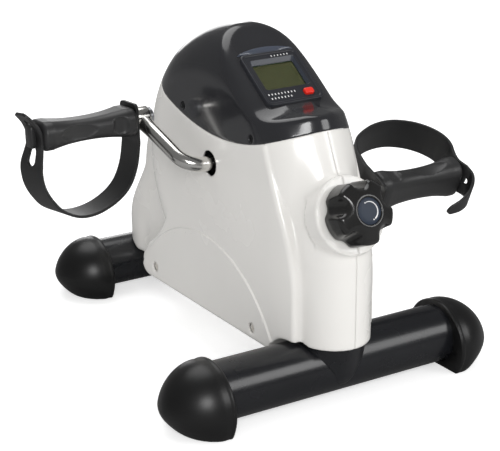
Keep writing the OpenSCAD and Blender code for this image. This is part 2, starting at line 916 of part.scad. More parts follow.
// Pedals and straps. A pedal is drawn with its inner end at x = 0 and with the
// loop of its strap on its +Z side.
strap_play = 0.3;
collar_r = spindle_r + 3;
pedal_x = eye_x + eye_t / 2 + strap_t + 2 * strap_play;
left_turn = 176;
right_turn = -68;
bush_r = spindle_r + 3;
bush_l = 12;
bore_l = pedal_l - 10;
peg = [6, 10];
peg_gap = 0.05;
inner_leg_x = -strap_play - strap_t / 2;
outer_leg_x = pedal_l + 0.1 + strap_t / 2;
loop_r = (outer_leg_x - inner_leg_x) / 2;
loop_z = strap_drop - loop_r - strap_t / 2;
strap_tip = 5;
strap_eye_r = strap_w / 2 + 0.5;
open_hole_w = 8;
strap_holes = [
    [open_hole_w, -14.5, -7],
    [peg[0] + 2 * peg_gap, -peg[1] / 2 - peg_gap, peg[1] / 2 + peg_gap],
    [open_hole_w, 10, 25]
];

module at_pedal(side) {
    translate([
        0,
        crank_y - side * crank_r * cos(crank_angle),
        crank_z - side * crank_r * sin(crank_angle)
    ])
        rotate([side < 0 ? left_turn : right_turn, 0, 0])
            outward(side)
                translate([pedal_x, 0, 0])
                    children();
}

module pedal_spindle(side) {
    color([0.7, 0.71, 0.73])
        at_pedal(side)
            union() {
                rod_x(-pedal_x + eye_x - eye_t / 2 - 2, bore_l - 1, spindle_r);
                rod_x(-pedal_x + eye_x - eye_t / 2 - 3, -pedal_x + eye_x - eye_t / 2, collar_r);
                rod_x(-pedal_x + eye_x + eye_t / 2, -2 * strap_play, collar_r);
            }
}

// A strip that is narrower in the middle by the depth of the waist on each side
module waisted(l, w) {
    chord = 0.8 * l;
    r = (chord * chord / 4 + waist_depth * waist_depth) / (2 * waist_depth);
    difference() {
        translate([0, -w / 2]) square([l, w]);
        for (s = [-1, 1])
            translate([l / 2, s * (w / 2 - waist_depth + r)]) circle(r = r, $fn = 300);
    }
}

// Two blocks, one on each side of the spindle, through the pedal's thickness
module pedal(side) {
    head_t = 3;
    color([0.12, 0.12, 0.13])
        at_pedal(side) {
            difference() {
                intersection() {
                    translate([0, 0, -pedal_t / 2])
                        linear_extrude(pedal_t) waisted(pedal_l, pedal_w);
                    translate([0, pedal_w / 2, 0])
                        rotate([90, 0, 0]) linear_extrude(pedal_w) waisted(pedal_l, pedal_t);
                }
                rod_x(-1, bore_l, bush_r + weld_gap);
            }
            translate([pedal_l - 2, -peg[0] / 2, -peg[1] / 2])
                cube([2.4 + strap_t, peg[0], peg[1]]);
            translate([pedal_l + 0.2 + strap_t + peg_gap, -peg[0] / 2 - 2.5, -peg[1] / 2 - 2.5])
                cube([head_t, peg[0] + 5, peg[1] + 5]);
        }
}

module pedal_bushes(side) {
    color([0.75, 0.7, 0.55])
        at_pedal(side)
            difference() {
                union() {
                    rod_x(0, bush_l, bush_r);
                    rod_x(bore_l - bush_l, bore_l, bush_r);
                }
                rod_x(-1, bore_l + 1, spindle_r + run_gap);
            }
}

module pedal_strap(side) {
    color([0.07, 0.07, 0.07])
        at_pedal(side)
            difference() {
                union() {
                    translate([(inner_leg_x + outer_leg_x) / 2, 0, loop_z])
                        rotate([90, 0, 0])
                            rotate_extrude(angle = 180)
                                translate([loop_r - strap_t / 2, -strap_w / 2])
                                    square([strap_t, strap_w]);
                    translate([inner_leg_x - strap_t / 2, -strap_w / 2, 0])
                        cube([strap_t, strap_w, loop_z]);
                    rod_x(inner_leg_x - strap_t / 2, inner_leg_x + strap_t / 2, strap_eye_r);
                    translate([outer_leg_x - strap_t / 2, -strap_w / 2, -pedal_t / 2 - strap_tip])
                        cube([strap_t, strap_w, loop_z + pedal_t / 2 + strap_tip]);
                }
                rod_x(inner_leg_x - strap_t, inner_leg_x + strap_t, collar_r + run_gap);
                for (h = strap_holes)
                    translate([pedal_l - 1, -h[0] / 2, h[1]])
                        cube([strap_t + 3, h[0], h[2] - h[1]]);
            }
}

// Brake and its knob
exit_a = 270 - nose_tilt;
band_span = anchor_a + 360 - exit_a;
tail_l = 16;
hook_l = 6;
spring_wire_r = 1.3;
spring_r = 5;
nut_l = 12;
nut_travel = knob_turns * screw_pitch;
collar_l = 5;
block_s = (crank_y - front_y - line_r * sin(nose_tilt)) / cos(nose_tilt);
block_l = 8;
block_z = crank_z - line_r * cos(nose_tilt) + block_s * sin(nose_tilt);
nut_s = block_s - block_l / 2 - collar_l - nut_travel / 2 - nut_l - 3;
spring_s = tail_l + hook_l;
disc_r = 11;
disc_t = 1.2;

// A strip on the brake wheel between two radii, from angle a0 over a span
module wheel_strip(r0, r1, w, a0, span) {
    translate([0, crank_y, crank_z])
        rotate([90, 0, 90])
            rotate([0, 0, a0])
                rotate_extrude(angle = span)
                    translate([r0, -w / 2]) square([r1 - r0, w]);
}

module brake_felt() {
    color([0.55, 0.5, 0.42])
        wheel_strip(felt_r, band_r - weld_gap, band_w, exit_a + 6, band_span - 14);
}

module brake_band() {
    color([0.65, 0.66, 0.68])
        difference() {
            union() {
                wheel_strip(band_r, band_r + band_t, band_w, exit_a, band_span + 3);
                translate([0, anchor[0], anchor[1]])
                    rod_x(1 - band_w / 2, band_w / 2 - 1, anchor_pin_r + 1.5);
                at_screw()
                    translate([-band_t / 2 - 1, -tail_l - 1, 1 - band_w / 2])
                        cube([band_t + 2, tail_l + 4, band_w - 2]);
                at_screw()
                    translate([-3, -tail_l - hook_l, -band_w / 2])
                        cube([6, hook_l, band_w]);
            }
            translate([0, anchor[0], anchor[1]]) rod_x(-big, big, anchor_pin_r + weld_gap);
        }
}

module tension_spring() {
    l = nut_s - spring_s;
    coils = floor(l / (1.7 * spring_wire_r));
    step = (l - 2 * spring_wire_r) / (coils - 1);
    color([0.72, 0.73, 0.75])
        at_screw()
            translate([0, -spring_s, 0])
                rotate([90, 0, 0])
                    rotate_extrude() {
                        for (i = [0 : coils - 1])
                            translate([spring_r, spring_wire_r + step * i]) circle(r = spring_wire_r);
                        translate([spring_r - 0.5, 0]) square([1, l]);
                    }
}

module tension_nut() {
    color([0.6, 0.55, 0.3])
        difference() {
            at_screw()
                translate([-spring_r - 3, -nut_s - nut_l, -spring_r - 3])
                    cube([2 * spring_r + 6, nut_l, 2 * spring_r + 6]);
            on_screw(nut_s - 1, nut_s + nut_l + 1, screw_d / 2 + run_gap);
        }
}

module tension_bracket() {
    plate_h = 5;
    seat_r = neck_r - neck_wall - weld_gap;
    color([0.5, 0.51, 0.53])
        difference() {
            union() {
                translate([0, front_y, neck_top - plate_h]) cylinder(r = seat_r, h = plate_h);
                translate([-10, front_y - 8, neck_top - 1])
                    cube([20, 8, block_z - screw_d / 2 - 5 - neck_top]);
                at_screw()
                    translate([-screw_d / 2 - 6, -block_s - block_l / 2, -8])
                        cube([screw_d + 16, block_l, 16]);
            }
            on_screw(block_s - big / 10, block_s + big / 10, screw_d / 2 + run_gap);
        }
}

module tension_screw() {
    color([0.7, 0.71, 0.73]) {
        on_screw(nut_s + nut_travel / 2 - 1, knob_s + knob_h - 8, screw_d / 2);
        on_screw(block_s - block_l / 2 - collar_l - 0.1, block_s - block_l / 2 - 0.1, screw_d / 2 + 2.5);
    }
}

// The scallops lean in and run out onto the coned front
module knob() {
    scallop_r = 11;
    scallop_depth = 1.5;
    scallop_lean = 22;
    cone_h = 5;
    color([0.07, 0.07, 0.08])
        difference() {
            at_screw()
                translate([0, -knob_s, 0])
                    rotate([90, 0, 0])
                        difference() {
                            union() {
                                cylinder(r = knob_d / 2, h = knob_h - cone_h);
                                translate([0, 0, knob_h - cone_h])
                                    cylinder(r1 = knob_d / 2, r2 = disc_r + 2, h = cone_h);
                            }
                            for (i = [0 : knob_lobes - 1])
                                rotate([0, 0, (i + 0.5) * 360 / knob_lobes])
                                    translate([knob_d / 2 - scallop_depth + scallop_r, 0, 0])
                                        rotate([0, -scallop_lean, 0])
                                            cylinder(r = scallop_r, h = 4 * knob_h, center = true);
                        }
            on_screw(knob_s - 1, knob_s + knob_h - 8, screw_d / 2 + weld_gap);
            on_screw(knob_s + knob_h - disc_t, knob_s + knob_h + 1, disc_r + weld_gap);
        }
}

module knob_disc() {
    color([0.1, 0.12, 0.2])
        on_screw(knob_s + knob_h - disc_t, knob_s + knob_h, disc_r);
}

module front_foot_left() { front_foot(-1); }
module front_foot_right() { front_foot(1); }
module rear_foot_left() { rear_foot(-1); }
module rear_foot_right() { rear_foot(1); }
module bearing_plate_left() { bearing_plate(-1); }
module bearing_plate_right() { bearing_plate(1); }
module bearing_left() { bearing(-1); }
module bearing_right() { bearing(1); }
module housing_left() { housing(-1); }
module housing_right() { housing(1); }
module crank_left() { crank(-1); }
module crank_right() { crank(1); }
module pedal_spindle_left() { pedal_spindle(-1); }
module pedal_spindle_right() { pedal_spindle(1); }
module pedal_left() { pedal(-1); }
module pedal_right() { pedal(1); }
module pedal_bushes_left() { pedal_bushes(-1); }
module pedal_bushes_right() { pedal_bushes(1); }
module pedal_strap_left() { pedal_strap(-1); }
module pedal_strap_right() { pedal_strap(1); }

front_tube();
rear_tube();
front_foot_left();
front_foot_right();
rear_foot_left();
rear_foot_right();
front_neck();
frame_spine();
bearing_plate_left();
bearing_plate_right();
bearing_left();
bearing_right();
plate_bolts();
band_anchor_pin();
housing_left();
housing_right();
housing_screws();
top_cover();
cover_screws();
monitor_case();
monitor_back();
display_panel();
display_lens();
circuit_board();
battery();
reset_button();
reed_sensor();
sensor_wire();
axle_sleeve();
crank_left();
crank_right();
crank_grub_screws();
brake_wheel();
wheel_magnet();
pedal_spindle_left();
pedal_spindle_right();
pedal_left();
pedal_right();
pedal_bushes_left();
pedal_bushes_right();
pedal_strap_left();
pedal_strap_right();
brake_felt();
brake_band();
tension_bracket();
tension_spring();
tension_nut();
tension_screw();
knob();
knob_disc();
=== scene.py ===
import math
from itertools import product

import bmesh
import bpy
import numpy as np
from mathutils import Matrix, Vector


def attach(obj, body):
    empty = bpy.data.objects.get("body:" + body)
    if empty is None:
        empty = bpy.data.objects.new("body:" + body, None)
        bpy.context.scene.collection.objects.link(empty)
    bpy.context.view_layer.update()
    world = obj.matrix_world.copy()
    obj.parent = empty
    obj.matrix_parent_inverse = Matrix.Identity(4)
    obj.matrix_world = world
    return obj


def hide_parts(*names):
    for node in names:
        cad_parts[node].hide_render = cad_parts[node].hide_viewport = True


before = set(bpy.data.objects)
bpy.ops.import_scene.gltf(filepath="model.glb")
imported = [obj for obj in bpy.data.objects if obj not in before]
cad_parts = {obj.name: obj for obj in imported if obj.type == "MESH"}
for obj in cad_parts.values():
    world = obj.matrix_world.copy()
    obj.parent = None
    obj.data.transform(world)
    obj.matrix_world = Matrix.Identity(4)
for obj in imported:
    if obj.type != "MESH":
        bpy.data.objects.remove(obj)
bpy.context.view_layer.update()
scene = bpy.context.scene
scene.view_settings.view_transform = "Standard"

# Lengths are in millimetres, as in part.scad, until a mesh is made
MM = 0.001

# Cross tubes
FRONT_Y, FRONT_Z, FRONT_R, FRONT_RIM = -143.5, 28.5, 25.5, 115.0
REAR_Y, REAR_Z, REAR_R, REAR_RIM = 172.5, 26.5, 23.5, 54.0
SOCKET = 18.0

# Axis of the crank, and axis of the knob, which leans by TILT and passes LINE_R below the crank's
CRANK_Y, CRANK_Z = -23.5, 180.0
TILT, LINE_R = math.radians(23.5), 69.9

# Housing and cover
HALF_W, SHELL = 44.0, 2.3
DOME_Y, DOME_Z, DOME_R, DOME_EDGE = -20.5, 168.0, 128.0, 41.0
SKIRT_Y, SKIRT_Z, SKIRT_R, SKIRT_RISE, SKIRT_STEP = -12.5, -16.0, 128.0, 1.4, 0.6
CHEEK_Y, CHEEK_LOW, CHEEK_TOP = FRONT_Y - 7.0, 40.0, 219.0
CHEEK_BEND, CHEEK_EDGE = 30.0, 4.0
DRAFT, DRAFT_Y, DRAFT_L = 2.2, -116.0, 30.0  # how the cheek draws in near the nose
BEND_Z, NOSE_R, NOSE_W, NOSE_LOW, NOSE_L = 125.0, 38.0, 33.5, 53.0, 170.0
NOSE_LEAN, NOSE_TAPER, TAPER_L, NOSE_EDGE = 3.5, 2.0, 100.0, 2.5
STEM_Y, STEM_R, STEM_LOW, STEM_EDGE = REAR_Y - 18.0, 22.0, 42.0, 5.0
WEB_X, WEB_LOW, WEB_TOP, WEB_EDGE = 19.0, 40.0, 160.0, 6.0
NOSE_S, PAD_R, PAD_RISE, PAD_ROOT, PAD_EDGE = 126.1, 33.0, 5.0, 14.0, 1.6
WEB_BLEND, STEM_BLEND, NOSE_BLEND, PAD_BLEND = 6.0, 16.0, 3.5, 4.0
FRONT_GAP, REAR_GAP = 3.0, 1.0
JOINT_Y, JOINT_Z, JOINT_R = -35.5, 436.0, 229.0

# Monitor's plane, the slope under it and the ledge below
MON_Y, MON_Z, MON_TILT, BEZEL = -70.0, 261.5, math.radians(34.5), 3.0
SLOPE_X, SLOPE_LEAN, SLOPE_EDGE = 32.0, 1.5, 5.0
LEDGE_Z, LEDGE_X, LEDGE_FALL, LEDGE_BLEND = 241.8, 12.0, 0.22, 7.0
COVER_EDGE = 3.6


# Distance fields, vectorised over rows of points

def smin(a, b, k):
    h = np.maximum(k - np.abs(a - b), 0.0) / k
    return np.minimum(a, b) - h * h * k * 0.25


def smax(a, b, k):
    return -smin(-a, -b, k)


def rounded(q0, q1, r):
    """Edge of radius r between two faces whose distances are q0 and q1."""
    a, b = q0 + r, q1 + r
    return np.minimum(np.maximum(a, b), 0.0) + np.hypot(np.maximum(a, 0.0), np.maximum(b, 0.0)) - r


def polyline(y, z, pts):
    """Flat distance to a chain of points."""
    best = np.full(len(y), 1e9)
    for (ay, az), (by, bz) in zip(pts, pts[1:]):
        dy, dz = by - ay, bz - az
        t = np.clip(((y - ay) * dy + (z - az) * dz) / (dy * dy + dz * dz), 0.0, 1.0)
        best = np.minimum(best, np.hypot(y - ay - t * dy, z - az - t * dz))
    return best


def polygon(y, z, pts):
    """Signed flat distance to a closed outline, negative inside."""
    d = polyline(y, z, pts + pts[:1])
    inside = np.zeros(len(y), bool)
    for (ay, az), (by, bz) in zip(pts, pts[1:] + pts[:1]):
        if az == bz:
            continue
        hit = ((az > z) != (bz > z)) & (y < (by - ay) * (z - az) / (bz - az) + ay)
        inside ^= hit
    return np.where(inside, -d, d)


def arc(cy, cz, r, a0, a1, n=14):
    out = []
    for i in range(n + 1):
        a = math.radians(a0 + (a1 - a0) * i / n)
        out.append((cy + r * math.cos(a), cz + r * math.sin(a)))
    return out


def corner(profile, r, n=5):
    """Rounds every inner point of a flat profile by up to r."""
    out = [profile[0]]
    for a, b, c in zip(profile, profile[1:], profile[2:]):
        a, b, c = np.array(a, float), np.array(b, float), np.array(c, float)
        la, lc = np.linalg.norm(a - b), np.linalg.norm(c - b)
        t = min(r, la * 0.49, lc * 0.49)
        p, q = b + (a - b) / la * t, b + (c - b) / lc * t
        for i in range(n + 1):
            f = i / n
            out.append(tuple((1 - f) ** 2 * p + 2 * f * (1 - f) * b + f * f * q))
    out.append(profile[-1])
    return out


def smooth_path(pts, n):
    """Catmull-Rom curve through points of any dimension."""
    p = np.array(pts, float)
    p = np.vstack([2 * p[0] - p[1], p, 2 * p[-1] - p[-2]])
    out = []
    for i in range(1, len(p) - 2):
        for t in np.arange(n) / n:
            out.append(0.5 * (2 * p[i] + (p[i + 1] - p[i - 1]) * t
                              + (2 * p[i - 1] - 5 * p[i] + 4 * p[i + 1] - p[i + 2]) * t * t
                              + (3 * p[i] - p[i - 1] - 3 * p[i + 1] + p[i + 2]) * t ** 3))
    out.append(p[-2])
    return np.array(out)


# Side outlines as (y, z) points
CHEEK = (arc(86.5, 54.0, 14.0, -90, 50)
         + arc(126.5, 142.0, 78.0, 240, 150)
         + [(DOME_Y, 208.0)]
         + corner([(CHEEK_Y + (CHEEK_TOP - BEND_Z) * math.tan(TILT), CHEEK_TOP), (CHEEK_Y, BEND_Z),
                   (CHEEK_Y, CHEEK_LOW)], CHEEK_BEND, 8))
NOSE = [(FRONT_Y, 20.0), (FRONT_Y, BEND_Z),
        (FRONT_Y + NOSE_LEAN + NOSE_L * math.sin(TILT), BEND_Z + NOSE_L * math.cos(TILT))]
STEM_BACK = [(REAR_Y - 20.0, 84.0), (REAR_Y - 46.0, 125.0), (REAR_Y - 56.0, 160.0)]
STEM = [tuple(q) for q in smooth_path(
    [(STEM_Y, 30.0), (STEM_Y, 58.0)] + STEM_BACK + [(REAR_Y - 96.0, 205.0)], 5)]
WEB = [(SKIRT_Y, WEB_LOW), (STEM_Y, WEB_LOW)] + STEM_BACK + [(SKIRT_Y, WEB_TOP)]


def knob_frame(y, z):
    """Distance along the knob's axis from the crank, and offset from that axis."""
    y, z = y - CRANK_Y, z - CRANK_Z
    s = -y * math.cos(TILT) + z * math.sin(TILT)
    w = -y * math.sin(TILT) - z * math.cos(TILT) - LINE_R
    return s, w


def monitor_frame(y, z):
    """Distance up the monitor's plane from its middle, and height above that plane."""
    y, z = y - MON_Y, z - MON_Z
    return (y * math.cos(MON_TILT) + z * math.sin(MON_TILT),
            -y * math.sin(MON_TILT) + z * math.cos(MON_TILT))


def skirt_field(y, z):
    return np.hypot(y - SKIRT_Y, z - SKIRT_Z) - SKIRT_R


def body_field(p):
    """White housing and dark cover together, before they are parted."""
    x, y, z = np.abs(p[:, 0]), p[:, 1], p[:, 2]
    dome = rounded(np.hypot(y - DOME_Y, z - DOME_Z) - DOME_R, x - HALF_W, DOME_EDGE)
    skirt = skirt_field(y, z)
    proud = SKIRT_RISE * (1.0 - np.clip((skirt + SKIRT_STEP) / (2 * SKIRT_STEP), 0.0, 1.0))
    draft = DRAFT * np.clip((DRAFT_Y - y) / DRAFT_L, 0.0, 1.0) ** 2
    trunk = rounded(polygon(y, z, CHEEK), x - HALF_W - proud + draft, CHEEK_EDGE)
    narrow = NOSE_W - NOSE_TAPER * np.clip((z - BEND_Z) / TAPER_L, 0.0, 1.0)
    nose = np.hypot(polyline(y, z, NOSE), x * NOSE_R / narrow) - NOSE_R
    nose = smax(nose, NOSE_LOW - z, NOSE_EDGE)
    stem = np.hypot(polyline(y, z, STEM), x) - STEM_R
    stem = smax(stem, STEM_LOW - z, STEM_EDGE)
    web = rounded(polygon(y, z, WEB), x - WEB_X, WEB_EDGE)
    s, w = knob_frame(y, z)
    pad = rounded(np.hypot(w, x) - PAD_R, s - NOSE_S - PAD_RISE, PAD_EDGE)
    pad = smax(pad, NOSE_S - PAD_ROOT - s, 1.0)
    d = np.minimum(dome, trunk)
    d = smin(d, smin(stem, web, WEB_BLEND), STEM_BLEND)
    d = smin(d, nose, NOSE_BLEND)
    d = smin(d, pad, PAD_BLEND)
    d = smax(d, FRONT_R + FRONT_GAP - np.hypot(y - FRONT_Y, z - FRONT_Z), 2.0)
    return smax(d, REAR_R + REAR_GAP - np.hypot(y - REAR_Y, z - REAR_Z), 1.5)


def cover_field(p):
    """The cover's outside, with the monitor's slope and the ledge below it."""
    d = body_field(p)
    x, y, z = np.abs(p[:, 0]), p[:, 1], p[:, 2]
    _, up = monitor_frame(y, z)
    side = (x - SLOPE_X + SLOPE_LEAN * (up + BEZEL)) / math.hypot(1.0, SLOPE_LEAN)
    slope = rounded(side, up + BEZEL, SLOPE_EDGE)
    ledge = z - LEDGE_Z + LEDGE_FALL * np.maximum(x - LEDGE_X, 0.0)
    return smax(d, smin(slope, ledge, LEDGE_BLEND), COVER_EDGE)


# Meshes from distance fields

SNAP = 0.06  # a vertex this near to a cut counts as on it


def surface_net(field, lo, hi, step):
    """Quads on field = 0, one vertex a cell."""
    axes = [np.arange(lo[i], hi[i] + step, step) for i in range(3)]
    n = [len(a) for a in axes]
    d = np.empty(n)
    for i, x in enumerate(axes[0]):
        yy, zz = np.meshgrid(axes[1], axes[2], indexing="ij")
        rows = np.stack([np.full(yy.size, x), yy.ravel(), zz.ravel()], 1)
        d[i] = field(rows).reshape(n[1], n[2])
    total = np.zeros([k - 1 for k in n] + [3])
    count = np.zeros([k - 1 for k in n])

    def part(off):
        return tuple(slice(off[a], n[a] - 1 + off[a]) for a in range(3))

    for axis in range(3):
        for u, v in product((0, 1), (0, 1)):
            a = [0, 0, 0]
            a[(axis + 1) % 3], a[(axis + 2) % 3] = u, v
            b = list(a)
            b[axis] = 1
            da, db = d[part(a)], d[part(b)]
            cross = (da < 0) != (db < 0)
            t = np.where(cross, da / np.where(cross, da - db, 1.0), 0.0)
            for k in range(3):
                total[..., k] += cross * (a[k] + (t if k == axis else 0.0))
            count += cross
    live = count > 0
    index = np.full(live.shape, -1)
    index[live] = np.arange(live.sum())
    verts = np.array(lo) + step * (np.argwhere(live) + total[live] / count[live][:, None])
    quads = []
    for axis in range(3):
        e1, e2 = (axis + 1) % 3, (axis + 2) % 3
        at = [slice(None)] * 3
        at[axis], at[e1], at[e2] = slice(0, n[axis] - 1), slice(1, n[e1] - 1), slice(1, n[e2] - 1)
        to = list(at)
        to[axis] = slice(1, n[axis])
        da, db = d[tuple(at)], d[tuple(to)]
        for sign in (True, False):
            hit = np.argwhere((da < 0) & (db >= 0) if sign else (da >= 0) & (db < 0))
            hit[:, e1] += 1
            hit[:, e2] += 1
            ring = []
            for u, v in ((-1, -1), (0, -1), (0, 0), (-1, 0)):
                c = hit.copy()
                c[:, e1] += u
                c[:, e2] += v
                ring.append(index[c[:, 0], c[:, 1], c[:, 2]])
            q = np.stack(ring if sign else ring[::-1], 1)
            quads.append(q)
    quads = np.vstack(quads)
    return verts, quads[(quads >= 0).all(1)]


def settle(field, v, quads, step):
    """Evens out the vertices along the surface and puts them on it."""
    e = np.vstack([quads[:, [i, (i + 1) % 4]] for i in range(4)])
    e = np.vstack([e, e[:, ::-1]])
    deg = np.bincount(e[:, 0], minlength=len(v))[:, None].astype(float)

    def slope(p):
        h = 0.04
        g = np.empty_like(p)
        for k in range(3):
            o = np.zeros(3)
            o[k] = h
            g[:, k] = (field(p + o) - field(p - o)) / (2 * h)
        return g

    def land(p, times):
        for _ in range(times):
            g = slope(p)
            move = field(p)[:, None] * g / np.maximum((g * g).sum(1), 0.25)[:, None]
            size = np.linalg.norm(move, axis=1)[:, None]
            p = p - move * np.minimum(1.0, step / np.maximum(size, 1e-9))
        return p

    v = land(v, 3)
    for _ in range(3):
        mean = np.zeros_like(v)
        np.add.at(mean, e[:, 0], v[e[:, 1]])
        drift = mean / np.maximum(deg, 1) - v
        g = slope(v)
        g /= np.maximum(np.linalg.norm(g, axis=1), 1e-6)[:, None]
        v = land(v + 0.5 * (drift - (drift * g).sum(1)[:, None] * g), 2)
    return v


def cut(bm, field, near=None):
    """Parts the mesh along field = 0 and keeps the side where it is negative."""
    verts = [v for v in bm.verts if near is None or near(v.co)]
    if not verts:
        return
    val = dict(zip(verts, field(np.array([v.co[:] for v in verts]))))
    for v in verts:
        if abs(val[v]) < SNAP:
            val[v] = 0.0
    edges = [e for e in bm.edges if e.verts[0] in val and e.verts[1] in val
             and val[e.verts[0]] * val[e.verts[1]] < 0]
    if edges:
        a = np.array([e.verts[0].co[:] for e in edges])
        b = np.array([e.verts[1].co[:] for e in edges])
        va = np.array([val[e.verts[0]] for e in edges])
        low, high = np.zeros(len(a)), np.ones(len(a))
        for _ in range(24):
            mid = (low + high) / 2
            same = field(a + (b - a) * mid[:, None]) * va > 0
            low, high = np.where(same, mid, low), np.where(same, high, mid)
        for e, t in zip(edges, (low + high) / 2):
            _, nv = bmesh.utils.edge_split(e, e.verts[0], float(t))
            val[nv] = 0.0
    for f in list(bm.faces):
        if any(v not in val for v in f.verts):
            continue
        sides = [val[v] for v in f.verts]
        if min(sides) < 0 < max(sides):
            on = [v for v in f.verts if val[v] == 0.0]
            if len(on) >= 2:
                bmesh.utils.face_split(f, on[0], on[-1] if len(on) == 2 else on[1])
    dead = []
    for f in bm.faces:
        got = [val[v] for v in f.verts if v in val]
        if len(got) == len(f.verts) and sum(got) > 0:
            dead.append(f)
    bmesh.ops.delete(bm, geom=dead, context="FACES")


# Making pieces

def link(name, data):
    ob = bpy.data.objects.new(name, data)
    scene.collection.objects.link(ob)
    return ob


def piece(name, mesh, material, body, slot, *nodes, sharp=40.0):
    ob = link(name, mesh)
    mesh.materials.clear()
    mesh.materials.append(material)
    for p in mesh.polygons:
        p.use_smooth = True
    mesh.set_sharp_from_angle(angle=math.radians(sharp))
    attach(ob, body)
    if nodes:
        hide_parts(*nodes)
    return ob


def mesh_of(name, verts, faces):
    """Mesh in metres from vertices in millimetres, welded and with its faces turned outward."""
    me = bpy.data.meshes.new(name)
    me.from_pydata((np.array(verts) * MM).tolist(), [], [list(map(int, f)) for f in faces])
    me.validate()
    me.update()
    bm = bmesh.new()
    bm.from_mesh(me)
    bmesh.ops.remove_doubles(bm, verts=bm.verts, dist=1e-6)
    bmesh.ops.recalc_face_normals(bm, faces=bm.faces)
    bm.to_mesh(me)
    bm.free()
    return me


def thicken(ob, depth):
    """Gives a skin its thickness, inward."""
    mod = ob.modifiers.new("shell", "SOLIDIFY")
    mod.thickness = depth * MM
    mod.offset = -1.0
    mod.use_rim = True
    mod.use_even_offset = True
    return mod


def loft(rings, close_start=False, close_end=False, wrap=True):
    """Quads between rings of equal length, with flat caps where asked."""
    rings = [np.array(r, float) for r in rings]
    n = len(rings[0])
    verts = np.vstack(rings)
    faces = []
    for i in range(len(rings) - 1):
        for j in range(n if wrap else n - 1):
            k = (j + 1) % n
            faces.append((i * n + j, i * n + k, (i + 1) * n + k, (i + 1) * n + j))
    if close_start:
        faces.append(tuple(range(n))[::-1])
    if close_end:
        faces.append(tuple((len(rings) - 1) * n + j for j in range(n)))
    return verts, faces


def circle(n):
    ang = np.arange(n) * 2 * math.pi / n
    return np.column_stack([np.cos(ang), np.sin(ang)])


def at_x(x, yz):
    """Ring of (y, z) points at x."""
    return np.column_stack([np.full(len(yz), x), yz])


def lathe(profile, n):
    """Turns (distance along +X, radius) points about the X axis."""
    return loft([at_x(x, r * circle(n)) for x, r in profile])


def corners(w, l, r, n):
    """Flat points round the four corners of a rounded rectangle."""
    out = []
    for qx, qy, a0 in ((1, 1, 0), (-1, 1, 90), (-1, -1, 180), (1, -1, 270)):
        for i in range(n + 1):
            a = math.radians(a0 + 90 * i / n)
            out.append((qx * (w / 2 - r) + r * math.cos(a), qy * (l / 2 - r) + r * math.sin(a)))
    return np.array(out)


def round_rect(w, l, r, z, n=6):
    """Ring of points on a rounded rectangle at height z."""
    ring = corners(w, l, r, n)
    return np.column_stack([ring, np.full(len(ring), z)])


def shift(ring, x, y):
    return ring + np.array([x, y, 0.0])


def turn_x(v, angle):
    c, s = math.cos(angle), math.sin(angle)
    v = np.array(v, float)
    return np.stack([v[:, 0], v[:, 1] * c - v[:, 2] * s, v[:, 1] * s + v[:, 2] * c], 1)


def at_monitor(v):
    return turn_x(v, MON_TILT) + np.array([0.0, MON_Y, MON_Z])


def at_knob(v):
    """Local +X runs out along the knob's axis from beside the crank's, +Y to the right."""
    v = np.array(v, float)
    out = np.array([0.0, -math.cos(TILT), math.sin(TILT)])
    down = np.array([0.0, -math.sin(TILT), -math.cos(TILT)])
    right = np.array([1.0, 0.0, 0.0])
    base = np.array([0.0, CRANK_Y, CRANK_Z]) + LINE_R * down
    return base + v[:, :1] * out + v[:, 1:2] * right - v[:, 2:3] * down


def join(*parts):
    """One vertex and face list from several."""
    verts, faces, off = [], [], 0
    for v, f in parts:
        verts.append(np.array(v, float))
        faces += [tuple(i + off for i in q) for q in f]
        off += len(v)
    return np.vstack(verts), faces


# Materials: every one varies its colour, gloss and fine relief by nodes

COAT_ROUGH, BUMP_DEPTH = 0.06, 0.0002


def material(name, color, rough, vary=0.06, grain=900.0, relief=0.04, metal=0.0, coat=0.0, blotch=22.0,
             rough_vary=0.06, alpha=1.0, sheen=0.0):
    """Colour and gloss drift by vary and rough_vary over large blotches; relief is the fine grain's bump."""
    m = bpy.data.materials.new(name)
    m.use_nodes = True
    nt = m.node_tree
    wire = nt.links.new
    bsdf = nt.nodes["Principled BSDF"]
    for socket, value in (("Metallic", metal), ("Coat Weight", coat), ("Coat Roughness", COAT_ROUGH),
                          ("Alpha", alpha), ("Sheen Weight", sheen)):
        bsdf.inputs[socket].default_value = value
    geo = nt.nodes.new("ShaderNodeTexCoord")

    def noise(scale, detail):
        t = nt.nodes.new("ShaderNodeTexNoise")
        t.inputs["Scale"].default_value = scale
        t.inputs["Detail"].default_value = detail
        wire(geo.outputs["Object"], t.inputs["Vector"])
        return t

    big, fine = noise(blotch, 3.0), noise(grain, 2.0)
    ramp = nt.nodes.new("ShaderNodeValToRGB")
    ramp.color_ramp.elements[0].position = 0.3
    ramp.color_ramp.elements[1].position = 0.7
    ramp.color_ramp.elements[0].color = [c * (1 - vary) for c in color] + [1]
    ramp.color_ramp.elements[1].color = [min(1.0, c * (1 + vary)) for c in color] + [1]
    wire(big.outputs["Fac"], ramp.inputs["Fac"])
    wire(ramp.outputs["Color"], bsdf.inputs["Base Color"])
    span = nt.nodes.new("ShaderNodeMapRange")
    span.inputs["To Min"].default_value = max(0.02, rough - rough_vary)
    span.inputs["To Max"].default_value = min(1.0, rough + rough_vary)
    wire(big.outputs["Fac"], span.inputs["Value"])
    wire(span.outputs["Result"], bsdf.inputs["Roughness"])
    bump = nt.nodes.new("ShaderNodeBump")
    bump.inputs["Strength"].default_value = relief
    bump.inputs["Distance"].default_value = BUMP_DEPTH
    wire(fine.outputs["Fac"], bump.inputs["Height"])
    wire(bump.outputs["Normal"], bsdf.inputs["Normal"])
    return m


